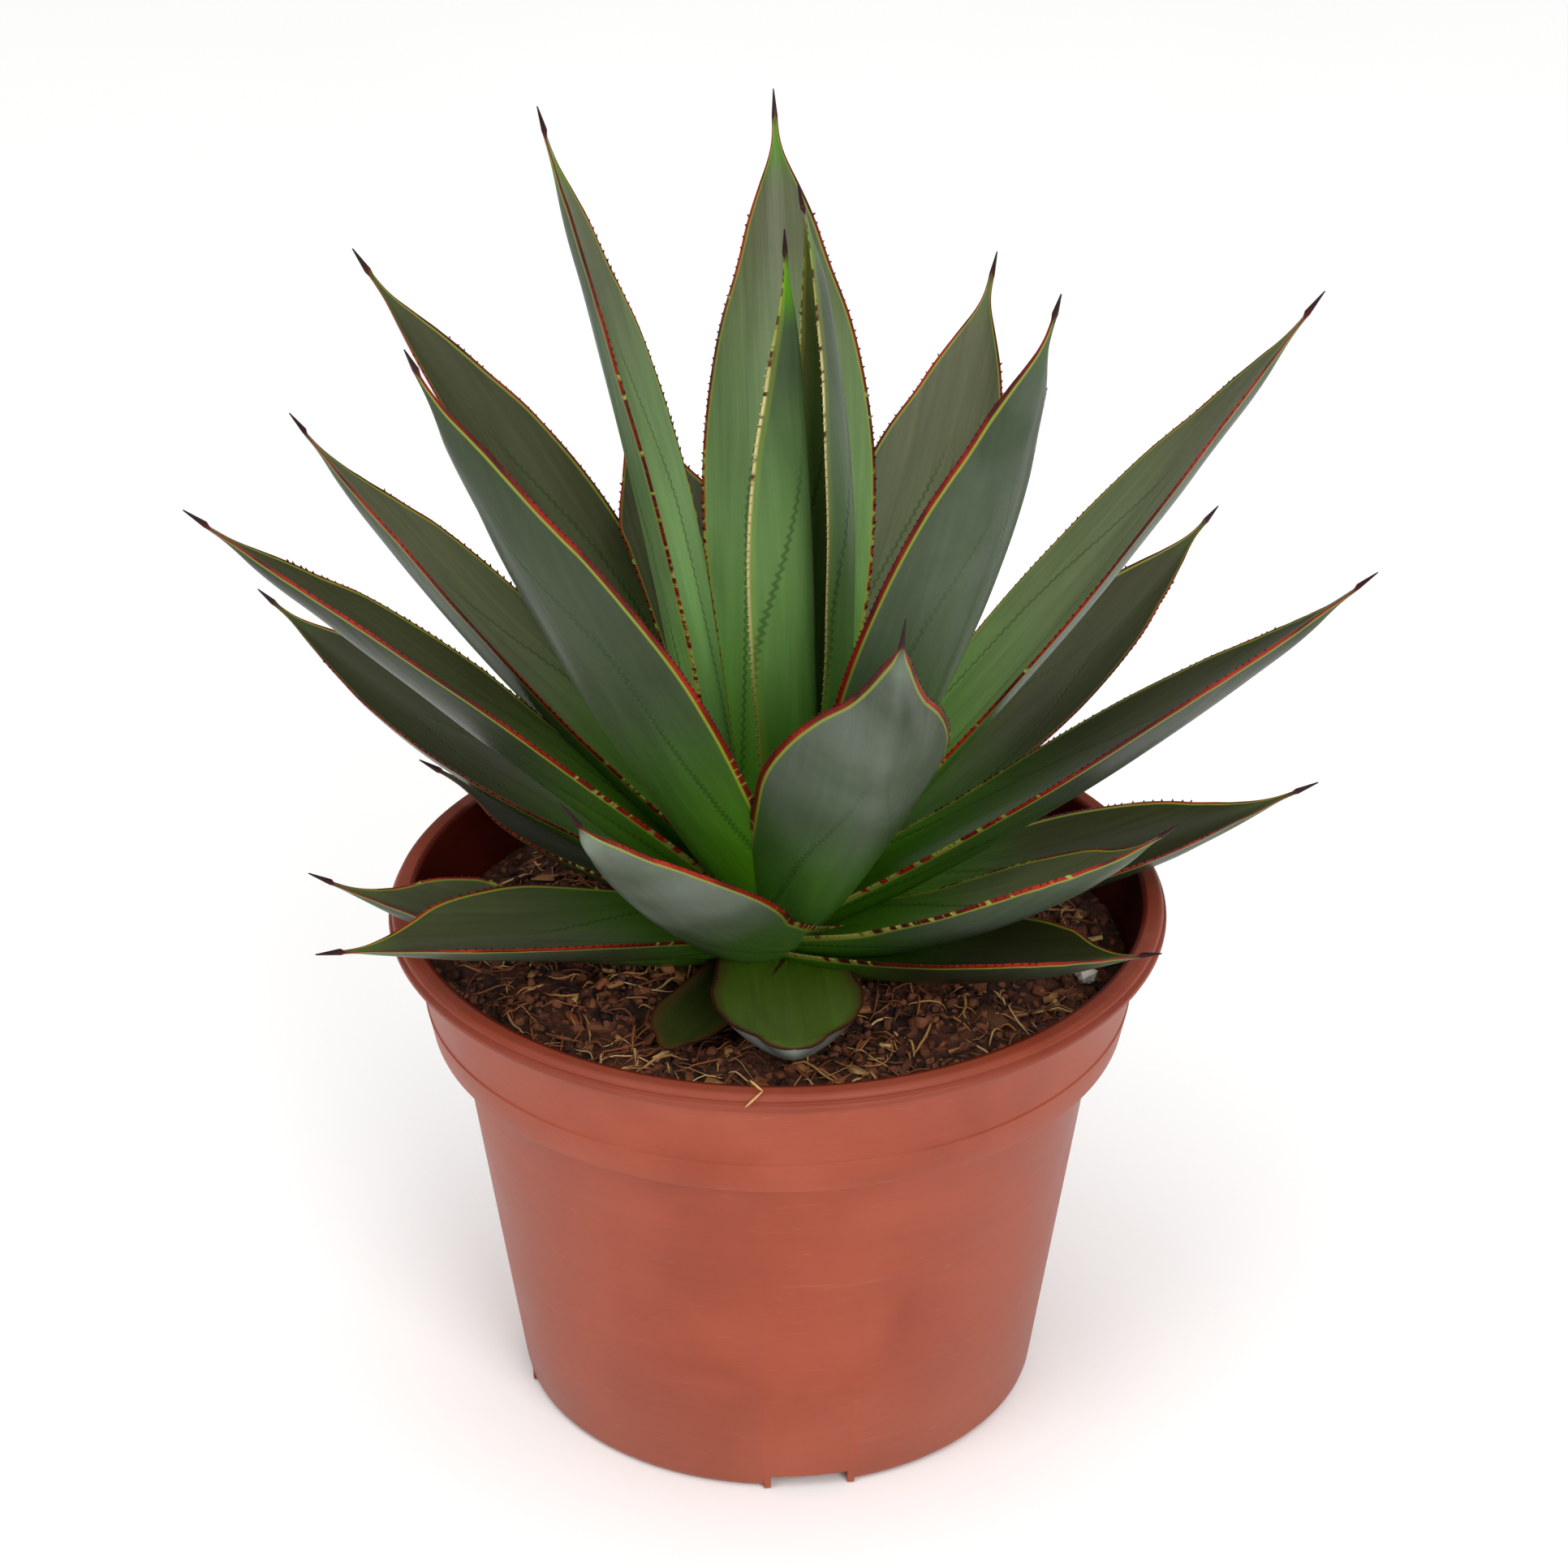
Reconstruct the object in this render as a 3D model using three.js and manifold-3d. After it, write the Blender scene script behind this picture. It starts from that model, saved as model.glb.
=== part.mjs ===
// Agave in a moulded plastic nursery pot. Millimetres, +Z up, the pot's axis on Z, its foot on z = 0.
import * as THREE from "three";
import { mergeVertices } from "three/addons/utils/BufferGeometryUtils.js";
import Module from "manifold-3d";

const wasm = await Module();
wasm.setup();

// Pot
const potHeight = 118;
const rimRadius = 85;
const rimLipHeight = 4.2;
const rimLipReach = 4.2;
const bandHeight = 24.6;
const bandStep = 5.5;
const bandDraft = 0.19;
const bandLineHeight = 7.6;
const bandLineDepth = 0.3;
const footRadius = 57.5;
const footRound = 2;
const potWall = 1.5;
const potSides = 48;

// Drain channels and holes under the pot
const drainCount = 4;
const drainWidth = 17;
const drainDepth = 3.3;
const drainStart = 20;
const drainTurn = 7;
const drainHoleRadius = 4;
const drainHolePlaces = [29, 46];

// Potting mix
const soilBelowRim = 15;
const soilCrown = 3;
const soilSides = 36;

// Stem and roots
const fitGap = 0.3;
const stemRadius = 10;
const stemHeight = 20;
const stemDepth = 24;
const stemNeck = 4;
const rootCount = 6;
const rootRadius = 1.6;
const rootTopDepth = 10;
const rootReach = 36;
const rootDrop = 34;
const rootSides = 3;
const rootSteps = 6;
const rootGap = 0.6;

// Leaves
const leafStations = 10;
const leafSection = 10;
const leafGap = 1;
const spineWidth = 2.6;
const thornTip = 0.4;
const marginThickness = 1;
const keelThickness = 7;
const tipThickness = 1.6;
const keelShare = 0.35;
const widestAt = 0.5;
const baseShare = 0.6;
const centreSteps = 48;
const stationBunching = 1.25;

// What most leaves share. azimuth: the way a leaf points, 0 = +X and 90 = +Y. swing: how far that has
// turned by the tip. lift: angle above level at foot and tip. roll: twist by the tip. All in degrees.
// foot: height of its base above the soil. reach: distance of its base from the axis. channel: depth of
// the gutter as a share of the width. sharpness: how drawn out the tip is. spine: length of the thorn.
const usual = { swing: 0, roll: 0, reach: stemRadius, channel: 0.2, sharpness: 1.2, spine: 10 };
const whorls = {
  outer_leaf: [
    { azimuth: 246, lift: [2, 6], length: 48, width: 16, foot: 4, channel: 0.12, sharpness: 0.5, spine: 1 },
    { azimuth: 273, lift: [2, 20], length: 59, width: 29, foot: 5, channel: 0.16, sharpness: 0.35, spine: 1 },
    { azimuth: 318, swing: 2, lift: [14, 26], length: 100, width: 25, foot: 5 },
    { azimuth: 95, swing: 6, lift: [18, 6], length: 106, width: 28, foot: 5 },
    { azimuth: 196, swing: -4, lift: [2, 32], length: 98, width: 27, foot: 5 },
    { azimuth: 216, swing: -8, lift: [20, 10], length: 106, width: 28, foot: 7 },
    { azimuth: 62, swing: -6, lift: [20, 8], length: 116, width: 29, foot: 6 },
    { azimuth: 4, swing: 6, lift: [5, 22], length: 113, width: 28, foot: 8 },
    { azimuth: 152, swing: -6, lift: [8, 12], length: 86, width: 28, foot: 7 },
  ],
  middle_leaf: [
    { azimuth: 246, swing: -18, lift: [28, 56], length: 100, width: 38, foot: 9 },
    { azimuth: 316, swing: 8, lift: [20, 44], length: 114, width: 27, foot: 9, channel: 0.18 },
    { azimuth: 42, swing: 8, lift: [14, 24], length: 146, width: 29, foot: 11, channel: 0.22 },
    { azimuth: 154, swing: -12, lift: [10, 24], length: 136, width: 31, foot: 13, channel: 0.22 },
    { azimuth: 102, swing: 4, lift: [36, 20], length: 118, width: 31, foot: 12 },
    { azimuth: 350, lift: [31, 44], length: 146, width: 30, foot: 14, roll: -10, channel: 0.15 },
    { azimuth: 200, swing: -4, lift: [46, 42], length: 160, width: 30, foot: 14, channel: 0.17 },
    { azimuth: 60, swing: 12, lift: [38, 50], length: 154, width: 35, foot: 14 },
    { azimuth: 119, lift: [66, 46], length: 118, width: 32, foot: 14 },
  ],
  inner_leaf: [
    { azimuth: 292, swing: -14, lift: [42, 65], length: 134, width: 36, foot: 16, roll: -4, channel: 0.28,
      sharpness: 1.6 },
    { azimuth: 168, swing: 10, lift: [40, 54], length: 138, width: 30, foot: 22, roll: 4, channel: 0.18 },
    { azimuth: 12, swing: -6, lift: [46, 54], length: 165, width: 31, foot: 22, roll: -6, channel: 0.12 },
    { azimuth: 147, swing: -2, lift: [60, 42], length: 162, width: 28, foot: 15 },
    { azimuth: 242, swing: -15, lift: [50, 62], length: 198, width: 32, foot: 21, roll: -4, channel: 0.18 },
    { azimuth: 315, swing: -6, lift: [60, 72], length: 174, width: 32, foot: 21, roll: -4, channel: 0.18 },
    { azimuth: 172, lift: [82, 72], length: 174, width: 28, foot: 24, channel: 0.14 },
    { azimuth: 84, swing: 16, lift: [56, 71], length: 165, width: 35, foot: 23, reach: 8, channel: 0.18 },
  ],
  heart_leaf: [
    { azimuth: 20, lift: [78, 102], length: 158, width: 18, foot: 22, reach: 5, channel: 0.3 },
    { azimuth: 330, lift: [88, 93], length: 148, width: 17, foot: 22, reach: 3, channel: 0.3 },
  ],
};

const colours = {
  pot: 0xad5a47,
  soil: 0x3a2a20,
  stem: 0xb9b48a,
  root: 0xc9b48c,
  leaf: 0x7f9a7c,
};

// Derived sizes of the pot
const soilTop = potHeight - soilBelowRim;
const bandBottom = potHeight - bandHeight;
const bandTop = potHeight - rimLipHeight;
const bandTopRadius = rimRadius - rimLipReach;
const bandFootRadius = bandTopRadius - bandDraft * (bandTop - bandBottom);
const bodyTopRadius = bandFootRadius - bandStep;
const drainRoof = drainDepth + potWall;

function materialOf(colour, roughness) {
  return new THREE.MeshStandardMaterial({ color: colour, roughness, metalness: 0 });
}

function solidOf(geometry) {
  const bare = geometry.clone();
  bare.deleteAttribute("normal");
  bare.deleteAttribute("uv");
  const merged = mergeVertices(bare, 1e-3);
  return new wasm.Manifold(new wasm.Mesh({
    numProp: 3,
    vertProperties: new Float32Array(merged.attributes.position.array),
    triVerts: new Uint32Array(merged.index.array),
  }));
}

function geometryOf(solid) {
  const mesh = solid.getMesh();
  const geometry = new THREE.BufferGeometry();
  geometry.setAttribute("position", new THREE.BufferAttribute(mesh.vertProperties, 3));
  geometry.setIndex(new THREE.BufferAttribute(mesh.triVerts, 1));
  return geometry.toNonIndexed();
}

function largestPiece(solid) {
  const pieces = solid.decompose();
  return pieces.reduce((best, piece) => (piece.volume() > best.volume() ? piece : best));
}

// The geometry with every vertex moved outwards by a distance.
function grown(geometry, distance) {
  geometry.deleteAttribute("normal");
  geometry.deleteAttribute("uv");
  const swollen = mergeVertices(geometry, 1e-3);
  swollen.computeVertexNormals();
  const place = swollen.attributes.position;
  const point = new THREE.Vector3();
  const outwards = new THREE.Vector3();
  for (let i = 0; i < place.count; i++) {
    outwards.fromBufferAttribute(swollen.attributes.normal, i);
    point.fromBufferAttribute(place, i).addScaledVector(outwards, distance);
    place.setXYZ(i, point.x, point.y, point.z);
  }
  return swollen;
}

const group = new THREE.Group();

function addMesh(name, solid, material) {
  const mesh = new THREE.Mesh(geometryOf(solid), material);
  mesh.name = name;
  group.add(mesh);
}

// A turned shape whose outline is given as [radius, height] pairs; its axis is stood up along Z.
function turned(outline, sides) {
  const points = outline.map(([radius, height]) => new THREE.Vector2(radius, height));
  return solidOf(new THREE.LatheGeometry(points, sides).rotateX(Math.PI / 2));
}

// Outer radius of the tapering body at a height.
function bodyRadius(height) {
  return THREE.MathUtils.mapLinear(height, footRound, bandBottom, footRadius, bodyTopRadius);
}

// Outer radius of the band under the rim at a height.
function bandRadius(height) {
  return THREE.MathUtils.mapLinear(height, bandBottom, bandTop, bandFootRadius, bandTopRadius);
}

// The pot's inner surface, moved inwards by a clearance: [radius, height] from the floor up to a height.
function innerOutline(floor, top, clearance) {
  const stepTop = bandBottom + potWall;
  const outline = [[0, floor], [bodyRadius(floor) - potWall - clearance, floor]];
  outline.push([bodyRadius(stepTop) - potWall - clearance, stepTop + clearance]);
  outline.push([bandRadius(stepTop) - potWall - clearance, stepTop + clearance]);
  outline.push([bandRadius(top) - potWall - clearance, top]);
  return outline;
}

function potShell() {
  const lineHeight = bandBottom + bandLineHeight;
  const lipRound = rimLipHeight / 4;
  const outside = [
    [0, 0],
    [footRadius - footRound, 0],
    [footRadius - 0.3 * footRound, 0.3 * footRound],
    [footRadius, footRound],
    [bodyTopRadius, bandBottom],
    [bandFootRadius - 0.4, bandBottom],
    [bandFootRadius, bandBottom + 0.4],
    [bandRadius(lineHeight) + bandLineDepth / 2, lineHeight],
    [bandRadius(lineHeight) - bandLineDepth / 2, lineHeight + bandLineDepth],
    [bandTopRadius, bandTop],
    [rimRadius - lipRound, bandTop + 0.3],
    [rimRadius, bandTop + 0.3 + lipRound],
    [rimRadius - 0.2, potHeight - lipRound],
    [rimRadius - lipRound, potHeight],
    [bandTopRadius - 0.4, potHeight],
    [bandTopRadius - potWall, potHeight - 0.8],
  ];
  const inside = innerOutline(potWall, bandTop - 2, 0).reverse();
  return turned([...outside, ...inside], potSides);
}

// A box that lies along one drain channel, from its inner end out through the wall.
function drainBox(index, width, height, start, end) {
  const box = new THREE.BoxGeometry(end - start, width, height);
  box.translate((start + end) / 2, 0, height / 2);
  box.rotateZ(2 * Math.PI * index / drainCount - Math.PI / 2 + THREE.MathUtils.degToRad(drainTurn));
  return box;
}

// The raised floor over the drain channels, grown by a clearance.
function drainRidges(clearance) {
  let ridges = null;
  for (let i = 0; i < drainCount; i++) {
    const ridge = solidOf(drainBox(i, drainWidth + 2 * (potWall + clearance), drainRoof + clearance,
      drainStart - potWall - clearance, footRadius));
    ridges = ridges ? ridges.add(ridge) : ridge;
  }
  return ridges;
}

function pot() {
  const inWall = potWall / 2;
  const core = turned([
    [0, -1],
    [bodyRadius(0) - inWall, -1],
    [bodyRadius(drainRoof) - inWall, drainRoof + 1],
    [0, drainRoof + 1],
  ], potSides);
  let solid = potShell().add(drainRidges(0).intersect(core));
  for (let i = 0; i < drainCount; i++) {
    const channel = drainBox(i, drainWidth, drainDepth + 1, drainStart, footRadius + 5);
    solid = solid.subtract(solidOf(channel.translate(0, 0, -1)));
    const turn = 2 * Math.PI * i / drainCount - Math.PI / 2 + THREE.MathUtils.degToRad(drainTurn);
    for (const place of drainHolePlaces) {
      const hole = new THREE.CylinderGeometry(drainHoleRadius, drainHoleRadius, 4 * drainRoof, 16);
      hole.rotateX(Math.PI / 2).translate(place * Math.cos(turn), place * Math.sin(turn), 0);
      solid = solid.subtract(solidOf(hole));
    }
  }
  return solid;
}

// The stem: a stout post that widens under the leaves; grown by a clearance on every side.
function stem(clearance) {
  const bottom = soilTop - stemDepth - clearance;
  const top = soilTop + stemHeight + clearance;
  const outline = [
    [0, bottom],
    [stemRadius - stemNeck + clearance, bottom],
    [stemRadius + clearance, bottom + 1.4 * stemNeck],
    [stemRadius - fitGap + clearance, soilTop + 0.6 * stemHeight],
    [0.6 * stemRadius + clearance, top - 1],
    [0, top],
  ];
  return turned(outline, 20);
}

// A root that leaves the stem under the soil and curves out and down.
function rootGeometry(index) {
  const turn = 2 * Math.PI * (index + 0.5) / rootCount;
  const start = stemRadius + 2 * fitGap;
  const top = soilTop - rootTopDepth - (index % 2) * 3 * rootRadius;
  const reach = rootReach - (index % 3) * 5;
  const at = (radius, height) => new THREE.Vector3(radius * Math.cos(turn), radius * Math.sin(turn), height);
  const route = new THREE.QuadraticBezierCurve3(
    at(start, top), at(start + 0.8 * (reach - start), top - 4), at(reach, top - rootDrop));
  const section = new THREE.Shape();
  section.absarc(0, 0, rootRadius, 0, 2 * Math.PI);
  return new THREE.ExtrudeGeometry(section, {
    steps: rootSteps, curveSegments: rootSides, bevelEnabled: false, extrudePath: route });
}

// The potting mix fills the pot and gives way to the stem, the roots and the leaves that lie on it.
function soil(lowLeaves) {
  const outline = innerOutline(potWall + fitGap, soilTop, fitGap);
  const edge = outline.at(-1)[0];
  const crownTop = soilTop + soilCrown;
  outline.push([0.75 * edge, soilTop + 0.5 * soilCrown], [0.3 * edge, crownTop], [0, crownTop]);
  let solid = turned(outline, soilSides).subtract(drainRidges(fitGap)).subtract(stem(fitGap));
  for (let i = 0; i < rootCount; i++) {
    solid = solid.subtract(solidOf(grown(rootGeometry(i), rootGap)));
  }
  for (const leaf of lowLeaves) {
    solid = solid.subtract(leaf);
  }
  return largestPiece(solid);
}

// Share of the greatest width at a share of the blade's length: broad foot, middle swell, drawn-out tip.
function bladeShare(along, sharpness) {
  if (along < widestAt) {
    return baseShare + (1 - baseShare) * THREE.MathUtils.smoothstep(along, 0, widestAt);
  }
  const past = Math.min((along - widestAt) / (1 - widestAt), 1);
  return (1 - past) ** sharpness * (1 + sharpness * past);
}

// Centre points and directions along a leaf, from its foot on the stem to the point of its spine.
function leafFrames(leaf) {
  const frames = [];
  const turn = THREE.MathUtils.degToRad(leaf.azimuth);
  const foot = soilTop + leaf.foot;
  const middle = new THREE.Vector3(leaf.reach * Math.cos(turn), leaf.reach * Math.sin(turn), foot);
  for (let i = 0; i <= centreSteps; i++) {
    const along = i / centreSteps;
    const azimuth = THREE.MathUtils.degToRad(leaf.azimuth + leaf.swing * along);
    const lift = THREE.MathUtils.degToRad(THREE.MathUtils.lerp(leaf.lift[0], leaf.lift[1], along));
    const ahead = new THREE.Vector3(
      Math.cos(lift) * Math.cos(azimuth), Math.cos(lift) * Math.sin(azimuth), Math.sin(lift));
    const across = new THREE.Vector3(-Math.sin(azimuth), Math.cos(azimuth), 0);
    const inner = ahead.clone().cross(across);
    const twist = THREE.MathUtils.degToRad(leaf.roll * along);
    across.applyAxisAngle(ahead, twist);
    inner.applyAxisAngle(ahead, twist);
    if (i > 0) {
      middle.addScaledVector(ahead, leaf.length / centreSteps);
    }
    frames.push({ middle: middle.clone(), ahead, across, inner });
  }
  return frames;
}

// A closed cylinder bent and flattened into a gutter-shaped blade with a thorn at its end.
function leafGeometry(leaf) {
  const geometry = new THREE.CylinderGeometry(1, 1, 1, leafSection, leafStations);
  const place = geometry.attributes.position;
  const frames = leafFrames(leaf);
  const bladeEnd = 1 - leaf.spine / leaf.length;
  const point = new THREE.Vector3();
  for (let i = 0; i < place.count; i++) {
    point.fromBufferAttribute(place, i);
    const along = 1 - (0.5 - point.y) ** stationBunching;
    const frame = frames[Math.round(along * centreSteps)];
    const taper = Math.min((1 - along) / (1 - bladeEnd), 1);
    const blade = leaf.width * bladeShare(Math.min(along / bladeEnd, 1), leaf.sharpness);
    const width = blade + spineWidth * taper + thornTip;
    const keel = Math.min(THREE.MathUtils.lerp(keelThickness, tipThickness, along), keelShare * width);
    const side = point.x;
    const face = -point.z;
    const half = face > 0 ? marginThickness / 2 : keel;
    point.copy(frame.middle)
      .addScaledVector(frame.across, side * width / 2)
      .addScaledVector(frame.inner, leaf.channel * width * side * side + half * face);
    place.setXYZ(i, point.x, point.y, point.z);
  }
  return geometry;
}

addMesh("pot", pot(), materialOf(colours.pot, 0.5));
addMesh("stem", stem(0), materialOf(colours.stem, 0.7));
for (let i = 0; i < rootCount; i++) {
  addMesh(`root_${i + 1}`, solidOf(rootGeometry(i)), materialOf(colours.root, 0.8));
}

// Each leaf stops where it meets the stem and the younger leaves inside it.
const leaves = [];
for (const [whorl, rows] of Object.entries(whorls)) {
  rows.forEach((row, i) => {
    const name = `${whorl}_${String(i + 1).padStart(2, "0")}`;
    leaves.push({ ...usual, ...row, name });
  });
}
const taken = [stem(fitGap)];
for (const leaf of leaves.reverse()) {
  let trimmed = solidOf(leafGeometry(leaf));
  for (const other of taken) {
    trimmed = trimmed.subtract(other);
  }
  addMesh(leaf.name, largestPiece(trimmed), materialOf(colours.leaf, 0.5));
  taken.push(solidOf(grown(leafGeometry(leaf), leafGap)));
}
addMesh("soil", soil(taken.slice(1)), materialOf(colours.soil, 0.95));

export default group;
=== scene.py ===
import math
import random
import bmesh
import bpy
from mathutils import Matrix, Vector, noise


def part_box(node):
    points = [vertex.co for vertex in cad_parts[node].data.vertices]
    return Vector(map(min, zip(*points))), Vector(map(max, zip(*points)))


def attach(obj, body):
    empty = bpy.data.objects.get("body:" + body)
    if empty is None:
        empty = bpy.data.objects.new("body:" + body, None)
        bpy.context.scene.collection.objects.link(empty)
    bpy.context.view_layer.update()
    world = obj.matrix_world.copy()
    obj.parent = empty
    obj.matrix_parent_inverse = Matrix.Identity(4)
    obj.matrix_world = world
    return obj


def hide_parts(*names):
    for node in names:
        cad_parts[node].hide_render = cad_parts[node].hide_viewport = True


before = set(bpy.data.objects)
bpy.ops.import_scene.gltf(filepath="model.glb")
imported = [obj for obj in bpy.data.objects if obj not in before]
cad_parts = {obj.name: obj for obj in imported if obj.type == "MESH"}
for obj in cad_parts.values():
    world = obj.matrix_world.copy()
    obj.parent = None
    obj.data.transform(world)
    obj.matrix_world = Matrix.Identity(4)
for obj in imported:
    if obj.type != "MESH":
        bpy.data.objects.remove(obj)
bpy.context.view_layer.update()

# Potted agave in a terracotta-coloured plastic pot. Metres, +Z up, the pot stands on z = 0.
mm = 0.001
potLow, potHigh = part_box("pot")
soilLow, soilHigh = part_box("soil")
stemLow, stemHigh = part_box("stem")
axis = Vector(((potLow.x + potHigh.x) / 2, (potLow.y + potHigh.y) / 2, 0))
rimRadius = (potHigh.x - potLow.x) / 2
potHeight = potHigh.z
leafNames = sorted(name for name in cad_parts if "leaf" in name)
rootNames = sorted(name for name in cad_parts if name.startswith("root_"))


# ---- camera: a product shot from the front, looking down on the rosette
view = {"lens": 108, "place": (0.0014, -0.8943, 0.6262), "pitch": 28.3}
cameraData = bpy.data.cameras.new("camera")
cameraData.lens = view["lens"]
cameraData.sensor_width = 36
cameraData.clip_start = 0.01
camera = bpy.data.objects.new("camera", cameraData)
camera.location = view["place"]
camera.rotation_euler = (math.radians(90 - view["pitch"]), 0, 0)
bpy.context.scene.collection.objects.link(camera)
bpy.context.scene.camera = camera
print("camera ready")


def linearColour(hexColour):
    channels = [int(hexColour[i:i + 2], 16) / 255 for i in (1, 3, 5)]
    return [c / 12.92 if c <= 0.04045 else ((c + 0.055) / 1.055) ** 2.4 for c in channels] + [1.0]


# Adds one shader node: settings are its properties, and links fill its inputs with another node's
# output or a plain value.
def addNode(tree, kind, links, **settings):
    made = tree.nodes.new("ShaderNode" + kind)
    for name, value in settings.items():
        setattr(made, name, value)
    for socket, source in links.items():
        if isinstance(source, bpy.types.NodeSocket):
            tree.links.new(source, made.inputs[socket])
        else:
            made.inputs[socket].default_value = source
    return made.outputs


def newMaterial(name):
    made = bpy.data.materials.new(name)
    made.use_nodes = True
    made.node_tree.nodes.clear()
    return made, made.node_tree


def finishPiece(mesh, name, material, replaced):
    data = bpy.data.meshes.new(name)
    mesh.to_mesh(data)
    mesh.free()
    for face in data.polygons:
        face.use_smooth = True
    data.materials.append(material)
    piece = bpy.data.objects.new(name, data)
    bpy.context.scene.collection.objects.link(piece)
    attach(piece, "root")
    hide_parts(replaced)
    return piece


def smoothShare(low, high, value):
    share = min(max((value - low) / (high - low), 0), 1)
    return share * share * (3 - 2 * share)


# ---- leaves: each is laid along the line of its node in the frame
leafShape = {
    "around": 36, "lengthwise": 88, "marginThick": 0.8 * mm, "marginShare": 0.033, "rimBlunt": 0.3,
    "ridge": 0.35, "spineBase": 1.3 * mm, "neck": 26 * mm,
    "spineTip": 0.25 * mm, "waviness": 0.35 * mm, "furrow": 0.12 * mm, "buried": 0.006,
    "bluntLength": 11 * mm, "bluntHalf": 10 * mm, "bluntKeel": 4.5 * mm,
    "toothSpacing": 1.9 * mm, "toothHeight": 0.42 * mm, "toothWidth": 0.75 * mm,
}
# youth: how fresh and green. bloom: how much pale wax is left on the skin. red: how far down the margin
# its red-brown rim runs. shade: how dark and olive the leaf is painted, partly for age and partly as painted
# shade for leaves lying in shadow. line: its yellow edge line.
usualLook = {"youth": 0.12, "bloom": 0.25, "red": 0.6, "shade": 0.35, "spine": 6, "line": 1.0}
leafLooks = {
    "heart_leaf_01": {"youth": 0.8, "bloom": 0.3, "red": 0.1, "shade": 0.0, "line": 0.3, "margin": 0.35 * mm},
    "heart_leaf_02": {"youth": 1.0, "bloom": 0.0, "red": 0.12, "shade": 0.0, "line": 0.3, "margin": 0.35 * mm},
    "inner_leaf_01": {"youth": 0.12, "bloom": 0.4, "red": 0.8, "shade": 0.3, "spine": 9,
                      "neck": 8 * mm},
    "inner_leaf_02": {"youth": 0.1, "bloom": 0.2, "red": 0.85, "shade": 0.05},
    "inner_leaf_03": {"youth": 0.25, "bloom": 0.3, "red": 0.8, "shade": 0.0},
    "inner_leaf_04": {"youth": 0.1, "bloom": 0.15, "red": 0.8, "shade": 0.65},
    "inner_leaf_05": {"youth": 0.05, "bloom": 0.04, "red": 0.88, "shade": 0.35},
    "inner_leaf_06": {"youth": 0.15, "bloom": 0.2, "red": 0.95, "shade": 0.2},
    "inner_leaf_07": {"youth": 1.0, "bloom": 0.2, "red": 0.55, "shade": 0.0},
    "inner_leaf_08": {"youth": 0.75, "bloom": 0.3, "red": 0.62, "shade": 0.0},
    "middle_leaf_01": {"youth": 0.12, "bloom": 0.72, "red": 0.85, "shade": 0.2, "spine": 10,
                       "neck": 8 * mm},
    "middle_leaf_03": {"youth": 0.08, "bloom": 0.05, "red": 0.75, "shade": 0.8},
    "middle_leaf_04": {"youth": 0.1, "bloom": 0.1, "red": 0.9, "shade": 0.9},
    "middle_leaf_06": {"youth": 0.1, "bloom": 0.2, "red": 0.75, "shade": 0.8},
    "middle_leaf_07": {"youth": 0.08, "bloom": 0.03, "red": 0.8, "shade": 0.8},
    "middle_leaf_08": {"youth": 0.12, "bloom": 0.3, "red": 0.9, "shade": 0.0},
    "outer_leaf_01": {"youth": 0.15, "bloom": 0.03, "red": 1.2, "shade": 0.9, "spine": 0, "line": 0.0,
                      "size": 0.5},
    "outer_leaf_02": {"youth": 0.0, "bloom": 1.0, "red": 1.2, "shade": 0.0, "spine": 0, "line": 0.0,
                      "size": 1.0},
    "outer_leaf_03": {"youth": 0.1, "bloom": 0.05, "red": 0.8, "shade": 1.0},
    "outer_leaf_06": {"youth": 0.25, "bloom": 0.25, "red": 0.85, "shade": 0.7},
    "outer_leaf_08": {"youth": 0.15, "bloom": 0.05, "red": 0.8, "shade": 0.95},
}


# Reads the cross sections of a leaf node from its tip towards its foot, as far as they are whole.
def leafSections(node):
    mesh = bmesh.new()
    mesh.from_mesh(node.data)
    bmesh.ops.remove_doubles(mesh, verts=mesh.verts, dist=0.002 * mm)
    heart = Vector((axis.x, axis.y, stemHigh.z))
    tip = max(mesh.verts, key=lambda v: (v.co - heart).length)
    tipPlace = tip.co.copy()
    seen = {v for v in mesh.verts if (v.co - tipPlace).length < 2 * mm}
    front = seen
    sections = []
    while True:
        front = {edge.other_vert(v) for v in front for edge in v.link_edges} - seen
        if len(front) != 10:
            break
        seen |= front
        sections.append(readSection([v.co.copy() for v in front]))
    mesh.free()
    across = sections[0]["across"]
    inner = sections[0]["inner"]
    first = {"middle": tipPlace, "across": across, "inner": inner, "half": 0.2 * mm, "rise": 0, "keel": 0.2 * mm}
    ordered = [first]
    for section in sections:
        if section["across"].dot(ordered[-1]["across"]) < 0:
            section["across"] = -section["across"]
        ordered.append(section)
    return ordered


# Works out middle, directions, half width, gutter and keel of one ring of ten points.
def readSection(points):
    ends = max(((a, b) for a in points for b in points), key=lambda pair: (pair[0] - pair[1]).length)
    across = (ends[1] - ends[0]).normalized()
    points.sort(key=lambda p: p.dot(across))
    left = (points[0] + points[1]) / 2
    right = (points[8] + points[9]) / 2
    between = (left + right) / 2
    face, keel = sorted(points[4:6], key=lambda p: (p - between).length)
    across = (right - left).normalized()
    inner = face - keel
    inner = (inner - across * inner.dot(across)).normalized()
    middle = face - inner * 0.5 * mm
    return {
        "middle": middle, "across": across, "inner": inner, "half": (right - left).length / 2 / 0.951,
        "rise": max((between - middle).dot(inner) / 0.904, 0), "keel": (middle - keel).length,
    }


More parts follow.
